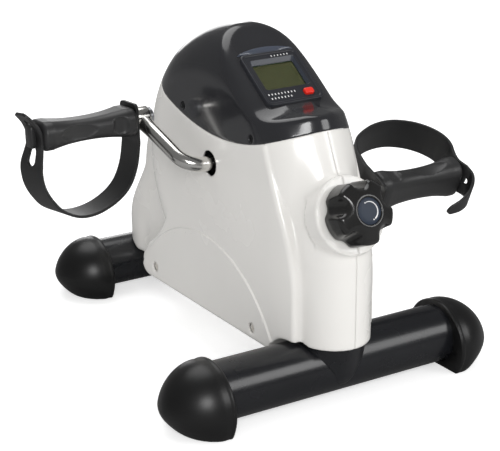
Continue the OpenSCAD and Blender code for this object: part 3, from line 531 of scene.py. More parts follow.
WHITE = material("white_plastic", (0.80, 0.785, 0.755), 0.26, vary=0.015, coat=0.35, grain=700, relief=0.03,
                 blotch=14)
COVER = material("charcoal_plastic", (0.021, 0.0213, 0.024), 0.18, coat=0.25, grain=800, relief=0.02)
BEZEL_M = material("bezel_plastic", (0.020, 0.021, 0.026), 0.33, vary=0.08, grain=2600, relief=0.12)
LCD = material("display_olive", (0.115, 0.125, 0.05), 0.4, vary=0.05, grain=3000, relief=0.02, blotch=60)
LENS = material("clear_window", (0.02, 0.022, 0.02), 0.05, vary=0.01, relief=0.0, alpha=0.07, rough_vary=0.02)
RIDGE = material("ridge_plastic", (0.06, 0.07, 0.095), 0.2, coat=0.3, grain=800, relief=0.02)
LCD_EDGE = material("display_edge", (0.03, 0.036, 0.05), 0.36, vary=0.1, grain=1500, relief=0.05)
RED = material("red_plastic", (0.72, 0.018, 0.006), 0.42, vary=0.05, grain=1500, relief=0.03)
MARK = material("white_print", (0.75, 0.75, 0.75), 0.5, vary=0.04, grain=2000, relief=0.05)
TUBE = material("black_paint", (0.008, 0.0085, 0.0105), 0.27, vary=0.12, grain=420, relief=0.05, coat=0.15)
FOOT = material("foot_plastic", (0.0045, 0.0045, 0.0047), 0.36, vary=0.1, grain=1500, relief=0.12)
CHROME = material("chrome", (0.80, 0.79, 0.76), 0.17, vary=0.03, metal=1.0, grain=300, relief=0.01,
                  rough_vary=0.03)
PEDAL = material("pedal_plastic", (0.023, 0.023, 0.0235), 0.4, vary=0.12, grain=1300, relief=0.12)
STRAP = material("strap_rubber", (0.014, 0.014, 0.0145), 0.46, vary=0.15, grain=1600, relief=0.16)
KNOB = material("knob_plastic", (0.012, 0.0118, 0.0115), 0.2, vary=0.1, relief=0.02, coat=0.2)
DISC = material("knob_disc", (0.012, 0.022, 0.042), 0.5, vary=0.1, grain=1200, relief=0.03)
ZINC = material("zinc_steel", (0.52, 0.53, 0.56), 0.32, vary=0.1, metal=1.0, grain=500, relief=0.08)
SCREW = material("screw_steel", (0.5, 0.5, 0.52), 0.3, vary=0.1, metal=1.0, relief=0.06)
PALE_SCREW = material("pale_screw", (0.62, 0.59, 0.54), 0.45, vary=0.08, relief=0.06)
BLACK_SCREW = material("black_screw", (0.02, 0.02, 0.021), 0.3, vary=0.1, metal=0.6, relief=0.06)
IRON = material("wheel_iron", (0.22, 0.225, 0.235), 0.42, vary=0.14, metal=1.0, grain=300, relief=0.15)
FRAME_PAINT = material("frame_paint", (0.02, 0.02, 0.022), 0.4, vary=0.12, grain=420, relief=0.08)
INNER = material("inner_plastic", (0.03, 0.03, 0.031), 0.5, vary=0.1, grain=1200, relief=0.1)
BOARD = material("circuit_board", (0.03, 0.12, 0.05), 0.4, vary=0.2, blotch=160, grain=1500, relief=0.1)
CELL = material("battery_sleeve", (0.42, 0.29, 0.06), 0.3, relief=0.03)
BUSH = material("bush_plastic", (0.5, 0.45, 0.33), 0.5, vary=0.08, grain=1000, relief=0.06)
FELT = material("felt", (0.27, 0.235, 0.185), 0.95, vary=0.2, grain=2600, relief=0.6, blotch=300, sheen=0.3)
BRASS = material("nut_brass", (0.6, 0.43, 0.16), 0.34, vary=0.08, metal=1.0, grain=600, relief=0.06)
WIRE = material("wire_sheath", (0.012, 0.012, 0.012), 0.5, vary=0.1, grain=1500, relief=0.08)

# Carried-over CAD nodes and what they are made of
PLAIN = [
    (FRAME_PAINT, "frame_spine"),
    (ZINC, "bearing_plate_left bearing_plate_right plate_bolts band_anchor_pin axle_sleeve brake_band "
           "pedal_spindle_left pedal_spindle_right tension_bracket tension_screw"),
    (SCREW, "bearing_left bearing_right tension_spring"),
    (BLACK_SCREW, "crank_grub_screws"),
    (INNER, "monitor_back reed_sensor"),
    (LCD, "display_panel"),
    (LENS, "display_lens"),
    (BOARD, "circuit_board"),
    (CELL, "battery"),
    (WIRE, "sensor_wire"),
    (IRON, "brake_wheel wheel_magnet"),
    (BUSH, "pedal_bushes_left pedal_bushes_right"),
    (FELT, "brake_felt"),
    (BRASS, "tension_nut"),
]
for m, names in PLAIN:
    for node in names.split():
        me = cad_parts[node].data
        me.materials.clear()
        me.materials.append(m)


# Housing halves and top cover

def joint_field(p):
    return np.hypot(p[:, 1] - JOINT_Y, p[:, 2] - JOINT_Z) - JOINT_R


CHEEK_SCREWS, CHEEK_RECESS = [(73.0, 53.0), (-93.0, 51.0)], 4.6
COVER_SCREWS, COVER_RECESS = [(20.0, 221.5), (-90.0, 218.5)], 3.5
CRANK_HOLE = 11.25
CHEEK_SIDE, HOLE_REACH = -30.0, 9.0
OPEN_W, OPEN_L, OPEN_EDGE, OPEN_DEPTH = 23.5, 25.0, 2.0, 1.5
# Half the gap at a joint, rim's roll, reach of the middle plane and weld distance
SEAM, ROLL, ON_SEAM, WELD = 0.12, 0.22, 0.05, 0.12
HOUSING_BOX, HOUSING_STEP = ((-48.0, -186.0, 36.0), (3.0, 182.0, 240.0)), 1.7
COVER_BOX, COVER_STEP = ((-48.0, -150.0, 200.0), (3.0, 112.0, 300.0)), 1.5


def hole(bm, y, z, r):
    cut(bm, lambda p: r - np.hypot(p[:, 1] - y, p[:, 2] - z),
        lambda c: c[0] < CHEEK_SIDE and abs(c[1] - y) < r + HOLE_REACH and abs(c[2] - z) < r + HOLE_REACH)


def crease(v, step):
    """Draws the cheek's vertices near the skirt onto its two edges."""
    d = skirt_field(v[:, 1], v[:, 2])
    inner = polygon(v[:, 1], v[:, 2], CHEEK) < -CHEEK_EDGE - 1.5
    near = (np.abs(d) < 0.9 * step) & (v[:, 0] < 0.5 - HALF_W) & inner
    out = v[near, 1:] - np.array([SKIRT_Y, SKIRT_Z])
    out /= np.linalg.norm(out, axis=1)[:, None]
    edge = np.where(d[near] > 0, SKIRT_STEP, -SKIRT_STEP)
    v[near, 1:] += out * (edge - d[near])[:, None]
    v[near, 0] = np.where(d[near] > 0, -HALF_W, -HALF_W - SKIRT_RISE)


def opening(bm):
    """Clears the cover under the monitor."""
    def field(p):
        along, _ = monitor_frame(p[:, 1], p[:, 2])
        return -rounded(np.abs(p[:, 0]) - OPEN_W, np.abs(along) - OPEN_L, OPEN_EDGE)

    cut(bm, field, lambda c: monitor_frame(c[1], c[2])[1] > -BEZEL - OPEN_DEPTH)


def drop_loose(bm):
    for v in list(bm.verts):
        if not v.link_faces:
            bm.verts.remove(v)


def shell_mesh(name, field, box, step, keep, holes, mirror):
    """Skin of a field on the left side, parted by keep, with round holes in its cheek and a rolled rim."""
    v, q = surface_net(field, *box, step)
    v = settle(field, v, q, step)
    crease(v, step)
    me = bpy.data.meshes.new(name)
    me.from_pydata(v.tolist(), [], q.tolist())
    bm = bmesh.new()
    bm.from_mesh(me)
    cut(bm, lambda p: p[:, 0])
    cut(bm, keep)
    if mirror:
        opening(bm)
    for y, z, r in holes:
        hole(bm, y, z, r)
    drop_loose(bm)
    bmesh.ops.remove_doubles(bm, verts=bm.verts, dist=WELD)
    bm.normal_update()
    rim = [vt for vt in bm.verts if vt.is_boundary and (abs(vt.co.x) > ON_SEAM or not mirror)]
    for vt, nrm in [(vt, vt.normal.copy()) for vt in rim]:
        nrm.x = 0.0 if abs(vt.co.x) < ON_SEAM else nrm.x
        vt.co -= nrm * ROLL
    for vt in bm.verts:
        if abs(vt.co.x) < ON_SEAM:
            vt.co.x = 0.0 if mirror else -SEAM
    if mirror:
        bmesh.ops.mirror(bm, geom=bm.verts[:] + bm.edges[:] + bm.faces[:], axis="X", merge_dist=0.01)
        bmesh.ops.remove_doubles(bm, verts=[vt for vt in bm.verts if abs(vt.co.x) < 0.02], dist=0.01)
    bmesh.ops.recalc_face_normals(bm, faces=bm.faces)
    for vt in bm.verts:
        vt.co *= MM
    bm.to_mesh(me)
    bm.free()
    return me


def mirrored(me, name):
    other = me.copy()
    other.name = name
    other.transform(Matrix.Scale(-1, 4, Vector((1, 0, 0))))
    other.flip_normals()
    return other


left = shell_mesh(
    "housing_left_skin", body_field, HOUSING_BOX, HOUSING_STEP, lambda p: SEAM - joint_field(p),
    [(CRANK_Y, CRANK_Z, CRANK_HOLE)] + [(y, z, CHEEK_RECESS) for y, z in CHEEK_SCREWS], False)
right = mirrored(left, "housing_right_skin")
for side, me in (("left", left), ("right", right)):
    thicken(piece("housing_%s_skin" % side, me, WHITE, "frame", "housing_plastic", "housing_" + side), SHELL)

cover = shell_mesh(
    "cover_skin", cover_field, COVER_BOX, COVER_STEP, lambda p: joint_field(p) + SEAM,
    [(y, z, COVER_RECESS) for y, z in COVER_SCREWS], True)
thicken(piece("cover_skin", cover, COVER, "frame", "cover_plastic", "top_cover"), SHELL)


# Cross tubes, feet and neck

TUBE_WALL, TUBE_EDGE = 2.0, 0.5
FRONT_FOOT_R, REAR_FOOT_R = 39.0, 36.0
FOOT_SKIRT, RIM_RISE, FOOT_BULGE, FOOT_ROWS = 9.0, 4.0, 1.14, 28
SOLE = 7.0
LOW_H, LOW_POWER, LOW_SHORT, LOW_SLIM = 24.0, 1.6, 0.26, 0.08  # how a foot draws in near the floor
NECK_DIP, NECK_R, NECK_TOP, NECK_SLIM, NECK_FLARE = 12.8, 34.0, 92.0, 0.12, 0.5


def cross_tube(name, y, z, r, rim):
    half, bore, edge = rim + SOCKET, r - TUBE_WALL, TUBE_EDGE
    v, f = lathe([(-half, bore), (-half, r - edge), (-half + edge, r), (-rim, r), (0, r), (rim, r),
                  (half - edge, r), (half, r - edge), (half, bore), (-half, bore)], 96)
    me = mesh_of(name, v + np.array([0.0, y, z]), f)
    piece(name + "_shell", me, TUBE, "frame", "tube_paint", name)


cross_tube("front_tube", FRONT_Y, FRONT_Z, FRONT_R, FRONT_RIM)
cross_tube("rear_tube", REAR_Y, REAR_Z, REAR_R, REAR_RIM)


def foot(name, side, rim, y, tube_z, tube_r, foot_r):
    """Domed cap with a rolled rim, flattened where it stands and drawn in towards the floor."""
    axis_z = tube_z + tube_r + RIM_RISE - foot_r
    sleeve = [(SOCKET, tube_r - 8.0), (SOCKET, tube_r + 0.1), (1.0, tube_r + 0.1)]
    lip = [(0.0, tube_r + 1.0), (0.0, foot_r - 1.3), (0.4, foot_r - 0.3), (1.4, foot_r + 0.25),
           (2.8, foot_r + 0.25), (3.9, foot_r - 0.25), (4.8, foot_r - 0.3)]
    dome = []
    for i in range(FOOT_ROWS + 1):
        a = math.pi / 2 * i / FOOT_ROWS
        dome.append((FOOT_SKIRT + foot_r * math.sin(a) ** FOOT_BULGE,
                     max(foot_r * max(math.cos(a), 0.0) ** FOOT_BULGE, 0.05)))
    prof = sleeve + lip + dome
    v, f = lathe(prof, 96)
    inside = len(sleeve) * (len(v) // len(prof))
    v[:inside, 2] += tube_z - axis_z
    v[:, 0] += rim
    v[:, 2] += axis_z
    flat = smax(v[:, 2], np.zeros(len(v)), SOLE)
    v[:, 2] = np.maximum(flat - SOLE / 4 * np.exp(-(v[:, 2] / SOLE) ** 2), 0.0)
    low = np.clip(1.0 - v[inside:, 2] / LOW_H, 0.0, 1.0) ** LOW_POWER
    v[inside:, 0] -= LOW_SHORT * low * np.maximum(v[inside:, 0] - rim, 0.0)
    v[inside:, 1] *= 1.0 - LOW_SLIM * low
    if side < 0:
        v[:, 0] *= -1
    me = mesh_of(name, v + np.array([0.0, y, 0.0]), f)
    piece(name + "_shell", me, FOOT, "frame", "foot_plastic", name, sharp=55)


for word, sign in (("left", -1), ("right", 1)):
    foot("front_foot_" + word, sign, FRONT_RIM, FRONT_Y, FRONT_Z, FRONT_R, FRONT_FOOT_R)
    foot("rear_foot_" + word, sign, REAR_RIM, REAR_Y, REAR_Z, REAR_R, REAR_FOOT_R)


def neck():
    """Funnel from the tube into the nose, its foot cut to the tube's curve."""
    n, rows = 120, 18
    low_z = FRONT_Z - NECK_DIP
    low_r = math.sqrt(FRONT_R ** 2 - NECK_DIP ** 2) - 0.2
    prof_z = [low_z, FRONT_Z - NECK_DIP / 2, NOSE_LOW]
    prof_r = [low_r, FRONT_R + 0.3, NECK_R]
    cos, sin = circle(n).T
    zs = np.linspace(low_z, NOSE_LOW, 400)
    rs = np.interp(zs, prof_z, prof_r)
    inside = np.hypot(np.outer(sin, rs), zs - FRONT_Z) < FRONT_R - 0.4
    start = np.array([zs[np.nonzero(row)[0].max()] if row.any() else low_z for row in inside])
    rings = []
    for t in np.linspace(0, 1, rows):
        z = start + (NOSE_LOW + 3 - start) * t
        r = np.interp(z, prof_z, prof_r) + NECK_FLARE * (1 - t) ** 4
        slim = 1.0 - NECK_SLIM * np.clip((z - FRONT_Z) / (NOSE_LOW - FRONT_Z), 0.0, 1.0)
        rings.append(np.column_stack([slim * r * cos, FRONT_Y + r * sin, z]))
    top = rings[-1].copy()
    top[:, 2] = NECK_TOP
    rings.append(top)
    v, f = loft(rings)
    me = mesh_of("front_neck", v, f)
    thicken(piece("front_neck_shell", me, TUBE, "frame", "tube_paint", "front_neck"), TUBE_WALL)


neck()


# Cranks

ROD_R, BEND_X, BEND_R, BEND_A = 6.5, 48.0, 20.0, math.radians(80)
CRANK_L, CRANK_TURN = 70.0, math.radians(26)
EYE_T, EYE_R, EYE_EDGE, SPINDLE_R = 15.5, 10.0, 2.4, 5.0
ROD_SWELL, FIT = 0.7, 0.05


def sweep(path, radii, n):
    """Round bar along a curve, with its radius given at each point."""
    path = np.array(path, float)
    tan = np.gradient(path, axis=0)
    tan /= np.linalg.norm(tan, axis=1)[:, None]
    up = np.array([0.0, 0.0, 1.0])
    cos, sin = circle(n).T[:, :, None]
    rings = []
    for p, t, r in zip(path, tan, radii):
        side = np.cross(up, t)
        side /= np.linalg.norm(side)
        top = np.cross(t, side)
        rings.append(p + r * (cos * side + sin * top))
    return loft(rings, True, True)


def to_side(v, side, angle, y, z):
    """Mirrors to the left where side is -1, then turns about the X axis and moves."""
    v = np.array(v, float)
    if side < 0:
        v = v * np.array([-1.0, 1.0, 1.0])
    return turn_x(v, angle) + np.array([0.0, y, z])


def crank(name, side):
    arm0 = np.array([BEND_X + BEND_R * math.sin(BEND_A), BEND_R * (1 - math.cos(BEND_A))])
    arm_l = (CRANK_L - arm0[1]) / math.sin(BEND_A)
    along = np.array([math.cos(BEND_A), math.sin(BEND_A)])
    path = [(x, 0.0, 0.0) for x in np.linspace(3, BEND_X, 12)]
    path += [(BEND_X + BEND_R * math.sin(a), BEND_R * (1 - math.cos(a)), 0.0)
             for a in np.linspace(0, BEND_A, 22)[1:]]
    last = arm_l - SPINDLE_R - 1.5
    path += [(*(arm0 + along * t), 0.0) for t in np.linspace(0, last, 24)[1:]]
    radii = np.full(len(path), ROD_R)
    radii[-6:] += np.linspace(0, ROD_SWELL, 6)
    bar = sweep(path, radii, 40)
    eye_x = arm0[0] + arm_l * along[0]
    h = EYE_T / 2
    prof = corner([(-h, SPINDLE_R + FIT), (-h, EYE_R), (h, EYE_R), (h, SPINDLE_R + FIT)], EYE_EDGE)
    ev, ef = lathe(prof + [prof[0]], 56)
    ev = ev + np.array([eye_x, CRANK_L, 0.0])
    v, f = join(bar, (ev, ef))
    v = to_side(v, side, CRANK_TURN + (0 if side < 0 else math.pi), CRANK_Y, CRANK_Z)
    piece(name + "_bar", mesh_of(name, v, f), CHROME, "crank", "crank_chrome", name, sharp=60)


crank("crank_left", -1)
crank("crank_right", 1)


# Pedals and straps, drawn with +X outward from the pedal's inner end

PEDAL_X, PEDAL_L, PEDAL_W, PEDAL_T, WAIST = 87.95, 88.5, 36.0, 25.0, 3.0
PEDAL_EDGE, PEDAL_END, PEDAL_OFF, PEDAL_FACE = 10.0, 3.2, 2.0, 5.0
# Hollows as depth, middle, half length, half height and squareness
DIMPLES = [(3.0, 56.0, 18.0, 6.5, 2.0), (2.8, 16.5, 7.0, 7.5, 3.0)]
PEDAL_TURN = {-1: math.radians(176), 1: math.radians(-68)}
PEDAL_AT = {-1: (39.416, 210.686), 1: (-86.416, 149.314)}
BUSH_R, BORE_L = SPINDLE_R + 3.0, PEDAL_L - 10.0
STRAP_W, STRAP_T, STRAP_END, STRAP_EDGE = 30.0, 2.5, 15.5, 5.0
PEG_W, PEG_H, PEG_AREA = 6.0, 10.0, 9.0
HEAD_W, HEAD_H = 12.0, 21.0


def at_pedal(v, side):
    v = np.array(v, float) + np.array([PEDAL_X, 0.0, 0.0])
    return to_side(v, side, PEDAL_TURN[side], *PEDAL_AT[side])


def ring_rect(w, t, r, n):
    """Evenly spaced points round a rounded rectangle in Y and Z, from the middle of +Y."""
    start = (w / 2, 0.0)
    pts = np.vstack([start, corners(w, t, r, 8), start])
    s = np.concatenate([[0], np.cumsum(np.linalg.norm(np.diff(pts, axis=0), axis=1))])
    at = np.linspace(0, s[-1], n, endpoint=False)
    return np.stack([np.interp(at, s, pts[:, 0]), np.interp(at, s, pts[:, 1])], 1)


def dimple(u, h, depth, mid, long, tall, power):
    """Depth of a hollow at u along the pedal and height h, oval for a power of 2 and squarer above."""
    q = np.abs((u - mid) / long) ** power + np.abs(h / tall) ** power
    return depth * np.clip(1.0 - q, 0.0, 1.0) ** 0.7


def pedal(name, side, body):
    n = 112
    chord = 0.8 * PEDAL_L
    big = (chord * chord / 4 + WAIST * WAIST) / (2 * WAIST)
    us = np.unique(np.concatenate([[0.0, 0.5, 1.2, 2.2], np.linspace(PEDAL_END, PEDAL_L - PEDAL_END, 70),
                                   [PEDAL_L - 2.2, PEDAL_L - 1.2, PEDAL_L - 0.5, PEDAL_L]]))
    rings = []
    for u in us:
        off = u - PEDAL_L / 2
        nip = max(0.0, WAIST - big + math.sqrt(max(big * big - off * off, 0.0)))
        end = min(u, PEDAL_L - u)
        curl = PEDAL_END - math.sqrt(max(PEDAL_END ** 2 - max(PEDAL_END - end, 0.0) ** 2, 0.0))
        w, t = PEDAL_W - 2 * nip - 2 * curl, PEDAL_T - 2 * nip - 2 * curl
        yz = ring_rect(w, t, min(PEDAL_EDGE, t / 2 - 0.5), n)
        face = np.abs(yz[:, 0]) > w / 2 - PEDAL_FACE
        dent = sum(dimple(u, yz[:, 1], *row) for row in DIMPLES)
        yz[:, 0] += PEDAL_OFF - np.sign(yz[:, 0]) * np.where(face, dent, 0.0)
        rings.append(at_x(u, yz))
    around = np.arctan2(rings[0][:, 2], rings[0][:, 1])
    bore = BUSH_R * np.column_stack([np.cos(around), np.sin(around)])
    v, f = loft([at_x(BORE_L, bore), at_x(0.4, bore)] + rings, True, True)
    peg = ring_rect(PEG_W, PEG_H, 1.2, 32)
    head = ring_rect(HEAD_W, HEAD_H, 3.5, 32)
    x0, x1 = PEDAL_L - 1.0, PEDAL_L + STRAP_T + 0.25
    levels = [(x0, peg), (x1, peg), (x1, head * 0.97), (x1 + 0.4, head), (x1 + 3.2, head),
              (x1 + 4.4, head * 0.95), (x1 + 5.0, head * 0.84)]
    v, f = join((v, f), loft([at_x(*row) for row in levels], True, True))
    me = mesh_of(name, at_pedal(v, side), f)
    piece(name + "_bar", me, PEDAL, body, "pedal_plastic", name, sharp=45)


def strap(name, side, body, path, skew, taper, twist, slant, slots):
    """Flat band cut to its outline and holes, then laid along a path of (x, z) points from its tip.

    The tip moves sideways by skew, narrows by taper and ends at a slant; the loop's free part twists.
    """
    line = smooth_path(path, 10)
    run = np.concatenate([[0], np.cumsum(np.linalg.norm(np.diff(line, axis=0), axis=1))])
    top = int(np.argmax(line[:, 1]))

    def at_z(z, outer):
        leg = slice(0, top) if outer else slice(top, len(line))
        order = np.argsort(line[leg, 1])
        return float(np.interp(z, line[leg, 1][order], run[leg][order]))

    eye, peg = at_z(0.0, False), at_z(0.0, True)
    grid_s = np.linspace(0, run[-1], int(run[-1] / 1.1))
    grid_y = np.linspace(-STRAP_W / 2 - 0.6, STRAP_W / 2 + 0.6, 29)
    n = len(grid_y)
    bm = bmesh.new()
    vs = [bm.verts.new((a, b, 0.0)) for a in grid_s for b in grid_y]
    for i, j in product(range(len(grid_s) - 1), range(n - 1)):
        k = i * n + j
        bm.faces.new([vs[k], vs[k + 1], vs[k + n + 1], vs[k + n]])

    def outline(p):
        a, b = p[:, 0], p[:, 1]
        tip = np.clip(1.0 - a / (peg - PEG_AREA), 0.0, 1.0)
        wide = np.abs(b - skew * tip) - STRAP_W / 2 + taper * tip
        a = a - slant * tip * (STRAP_W / 2 - b)
        half = (eye + STRAP_END) / 2
        return rounded(np.abs(a - half) - half, wide, STRAP_EDGE)

    def slot(z0, z1, half):
        a0, a1 = sorted((at_z(z0, True), at_z(z1, True)))
        mid, long = (a0 + a1) / 2, (a1 - a0) / 2 - half
        return (lambda p: half - np.hypot(np.maximum(np.abs(p[:, 0] - mid) - long, 0.0), p[:, 1]),
                lambda c: abs(c[0] - mid) < long + half + 4 and abs(c[1]) < half + 4)

    cut(bm, outline)
    for row in slots:
        cut(bm, *slot(*row))
    tall, wide = PEG_H / 2 + FIT, PEG_W / 2 + FIT
    cut(bm, lambda p: -rounded(np.abs(p[:, 0] - peg) - tall, np.abs(p[:, 1]) - wide, 1.0),
        lambda c: abs(c[0] - peg) < PEG_AREA and abs(c[1]) < 7)
    cut(bm, lambda p: BUSH_R + FIT - np.hypot(p[:, 0] - eye, p[:, 1]),
        lambda c: abs(c[0] - eye) < BUSH_R + 5 and abs(c[1]) < BUSH_R + 5)
    drop_loose(bm)
    bmesh.ops.remove_doubles(bm, verts=bm.verts, dist=0.15)
    bmesh.ops.recalc_face_normals(bm, faces=bm.faces)
    flat = np.array([vt.co[:] for vt in bm.verts])
    a = flat[:, 0]
    x, z = np.interp(a, run, line[:, 0]), np.interp(a, run, line[:, 1])
    free = np.clip((a - peg - PEG_AREA) / 16.0, 0, 1) * np.clip((run[top] + 20 - a) / 50.0, 0, 1)
    x = x + twist * free * flat[:, 1] / (STRAP_W / 2)
    for vt, q in zip(bm.verts, at_pedal(np.column_stack([x, flat[:, 1], z]), side) * MM):
        vt.co = q
    me = bpy.data.meshes.new(name)
    bm.to_mesh(me)
    bm.free()
    ob = piece(name + "_band", me, STRAP, body, "strap_rubber", name, sharp=35)
    mod = thicken(ob, STRAP_T)
    mod.offset = 0.0
    bev = ob.modifiers.new("edge", "BEVEL")
    bev.width, bev.segments, bev.limit_method = 0.5 * MM, 2, "ANGLE"
    bev.angle_limit = math.radians(50)


# Slots as lower end, upper end and half width
LEFT_SLOTS = [(-15.0, -6.5, 4.25), (9.0, 26.0, 5.8)]
RIGHT_SLOTS = [(-14.5, -7.0, 3.7), (10.0, 22.0, 3.5)]
INNER_END = [(-1.3, 21), (-1.55, 14), (-1.55, 0), (-1.55, -17)]
LEFT_PATH = [(104.5, -23), (98, -16), (92.8, -8.8), (89.85, 0), (90.0, 6), (91.8, 14), (94.2, 23), (95.0, 32),
             (92.8, 44), (86.5, 56), (76.5, 67), (60, 74.2), (42, 73.8), (24, 67), (10.5, 56),
             (2.5, 40)] + INNER_END
RIGHT_PATH = [(60, -34), (75, -33), (88, -27), (94.5, -17), (91.6, -7), (89.85, 0), (90.6, 6), (93.5, 14),
              (97.4, 23), (98.8, 32), (97, 42), (90.5, 53), (79, 63), (62, 69.6), (43, 69), (25, 62.5),
              (11, 53), (2.5, 38)] + INNER_END

pedal("pedal_left", -1, "pedal_left")
pedal("pedal_right", 1, "pedal_right")
strap("pedal_strap_left", -1, "pedal_left", LEFT_PATH, -1.5, 1.5, -2.5, 0.3, LEFT_SLOTS)
strap("pedal_strap_right", 1, "pedal_right", RIGHT_PATH, 11.0, 11.5, 0.0, 0.0, RIGHT_SLOTS)


# Knob and its disc, along local +X

KNOB_S, KNOB_H, KNOB_R, KNOB_EDGE, KNOB_BACK, KNOB_STEP = 131.7, 27.0, 27.0, 3.6, 0.6, 0.8
DISC_R, DISC_RIM, DISC_SINK, CONE_H = 11.0, 2.0, 1.6, 5.0
LOBES, LOBE_AT = 5, math.radians(54)
SCOOP_R, SCOOP_DEPTH, SCOOP_LEAN, SCOOP_BLEND = 8.5, 1.0, math.radians(18), 3.4
# Disc as height and radius, and the turn mark on it
DISC_ROWS = [(25.5, DISC_R), (26.1, DISC_R), (26.4, DISC_R - 0.5), (26.55, 7.0), (26.6, 0.3)]
MARK_R, MARK_LOW, MARK_TOP, MARK_N = 7.6, 26.5, 26.75, 40
DOT_LOW, DOTS = 26.4, [(112, 0.55), (-73, 0.6)]


def knob_field(p):
    """Round knob with a coned front and scoops that run up its side onto the front."""
    s, r, ang = p[:, 0], np.hypot(p[:, 1], p[:, 2]), np.arctan2(p[:, 2], p[:, 1]) - LOBE_AT
    fall = CONE_H / (KNOB_R - DISC_R - DISC_RIM)
    front = (s - KNOB_H + fall * np.maximum(r - DISC_R - DISC_RIM, 0.0)) / math.hypot(1.0, fall)
    d = rounded(r - KNOB_R, front, KNOB_EDGE)
    d = smax(d, KNOB_BACK - s, 1.2)
    pitch = 2 * math.pi / LOBES
    off = (ang % pitch) - pitch / 2
    a, b = r * np.cos(off), r * np.sin(off)
    across = (a - KNOB_R + SCOOP_DEPTH - SCOOP_R) * math.cos(SCOOP_LEAN) + s * math.sin(SCOOP_LEAN)
    d = smax(d, SCOOP_R - np.hypot(across, b), SCOOP_BLEND)
    sink = rounded(r - DISC_R - 0.1, KNOB_H - DISC_SINK - s, 0.2)
    return smax(d, -sink, 0.5)


def knob():
    ring = circle(168)
    reach = KNOB_R + 1.5
    v, q = surface_net(knob_field, (-1.0, -reach, -reach), (KNOB_H + 1.5, reach, reach), KNOB_STEP)
    v = settle(knob_field, v, q, KNOB_STEP)
    v[:, 0] += KNOB_S
    me = mesh_of("knob", at_knob(v), q)
    piece("knob_body", me, KNOB, "knob", "knob_plastic", "knob", sharp=70)
    v, f = loft([at_x(KNOB_S + s, ring * r) for s, r in DISC_ROWS], True, True)
    me = mesh_of("knob_disc", at_knob(v), f)
    piece("knob_face", me, DISC, "knob", "knob_mark", "knob_disc", sharp=50)
    turn, half = np.radians(np.linspace(105, -62, MARK_N)), np.linspace(0.25, 0.6, MARK_N)
    bar = []
    for side, s in ((-1, MARK_LOW), (-1, MARK_TOP), (1, MARK_TOP), (1, MARK_LOW)):
        r = MARK_R + side * half
        bar.append(at_x(KNOB_S + s, np.column_stack([r * np.cos(turn), r * np.sin(turn)])))
    parts = [loft(bar + [bar[0]], wrap=False)]
    for deg, r in DOTS:
        mid = MARK_R * np.array([math.cos(math.radians(deg)), math.sin(math.radians(deg))])
        dot = [at_x(KNOB_S + s, ring * r + mid) for s in (DOT_LOW, MARK_TOP)]
        parts.append(loft(dot, True, True))
    v, f = join(*parts)
    piece("knob_mark", mesh_of("knob_mark", at_knob(v), f), MARK, "knob", "knob_mark", "knob_disc")


knob()


# Monitor: bezel, window rim, ticks, ridge above it and reset button

MON_W, MON_L, MON_FACE = 56.0, 57.0, -0.7
LCD_W, LCD_L, LCD_AT = 42.0, 29.6, 3.2
WINDOW_X, WINDOW_Y = 0.8, LCD_AT + 1.7
BUT_W, BUT_L, BUT_X, BUT_Y, WELL = 9.0, 6.0, 16.0, -19.9, 0.9
# Bezel from its foot to its face, as inset, corner radius and height
BEZEL_ROWS = [(0.0, 5.0, -BEZEL - 2.0), (0.0, 5.0, -0.9), (0.5, 4.8, -0.3), (1.6, 4.3, 0.0), (4.4, 3.2, 0.0),
              (5.2, 2.9, -0.2), (5.8, 2.7, MON_FACE)]
# Button from its flange to its top, as added width and length, corner radius and height
BUTTON_ROWS = [(1.6, 1.6, 1.8, -BEZEL - 1.2), (1.6, 1.6, 1.8, -BEZEL - 0.3), (0.0, 0.0, 1.8, -BEZEL - 0.2),
               (0.0, 0.0, 1.8, 0.6), (-0.4, -0.4, 1.7, 1.1), (-1.4, -1.4, 1.5, 1.45), (-4.0, -3.6, 0.9, 1.55)]
# Rows of ticks in the places of print, as y, first x, count and height
TICK_ROWS = [(23.4, 2.0, 6, 1.5), (-17.2, -22.0, 9, 1.8), (-21.6, -21.0, 7, 1.8)]
TICK_W, TICK_PITCH, TICK_RISE = 0.9, 3.2, 0.1
# Ridge's section, as share of its width and height above the slope
RIDGE_ROWS = [(0.0, -0.8), (0.0, 0.1), (0.45, 1.0), (0.85, 1.6), (1.0, 1.5), (1.25, -0.8)]
RIDGE_X, RIDGE_Y, RIDGE_W = 28.0, 30.0, 5.0


def fill_between(loops):
    """Flat face with holes from closed rings of points."""
    bm = bmesh.new()
    edges = []
    for ring in loops:
        vs = [bm.verts.new(p) for p in ring]
        edges += [bm.edges.new((vs[i], vs[(i + 1) % len(vs)])) for i in range(len(vs))]
    bmesh.ops.triangle_fill(bm, use_beauty=True, edges=edges, normal=(0, 0, 1))
    bm.verts.index_update()
    out = ([v.co[:] for v in bm.verts], [[v.index for v in f.verts] for f in bm.faces])
    bm.free()
    return out


def monitor_piece(name, part, mat, body, slot, node, sharp=40.0):
    """Piece drawn flat in the monitor's plane."""
    v, f = part
    piece(name, mesh_of(name, at_monitor(v), f), mat, body, slot, node, sharp=sharp)


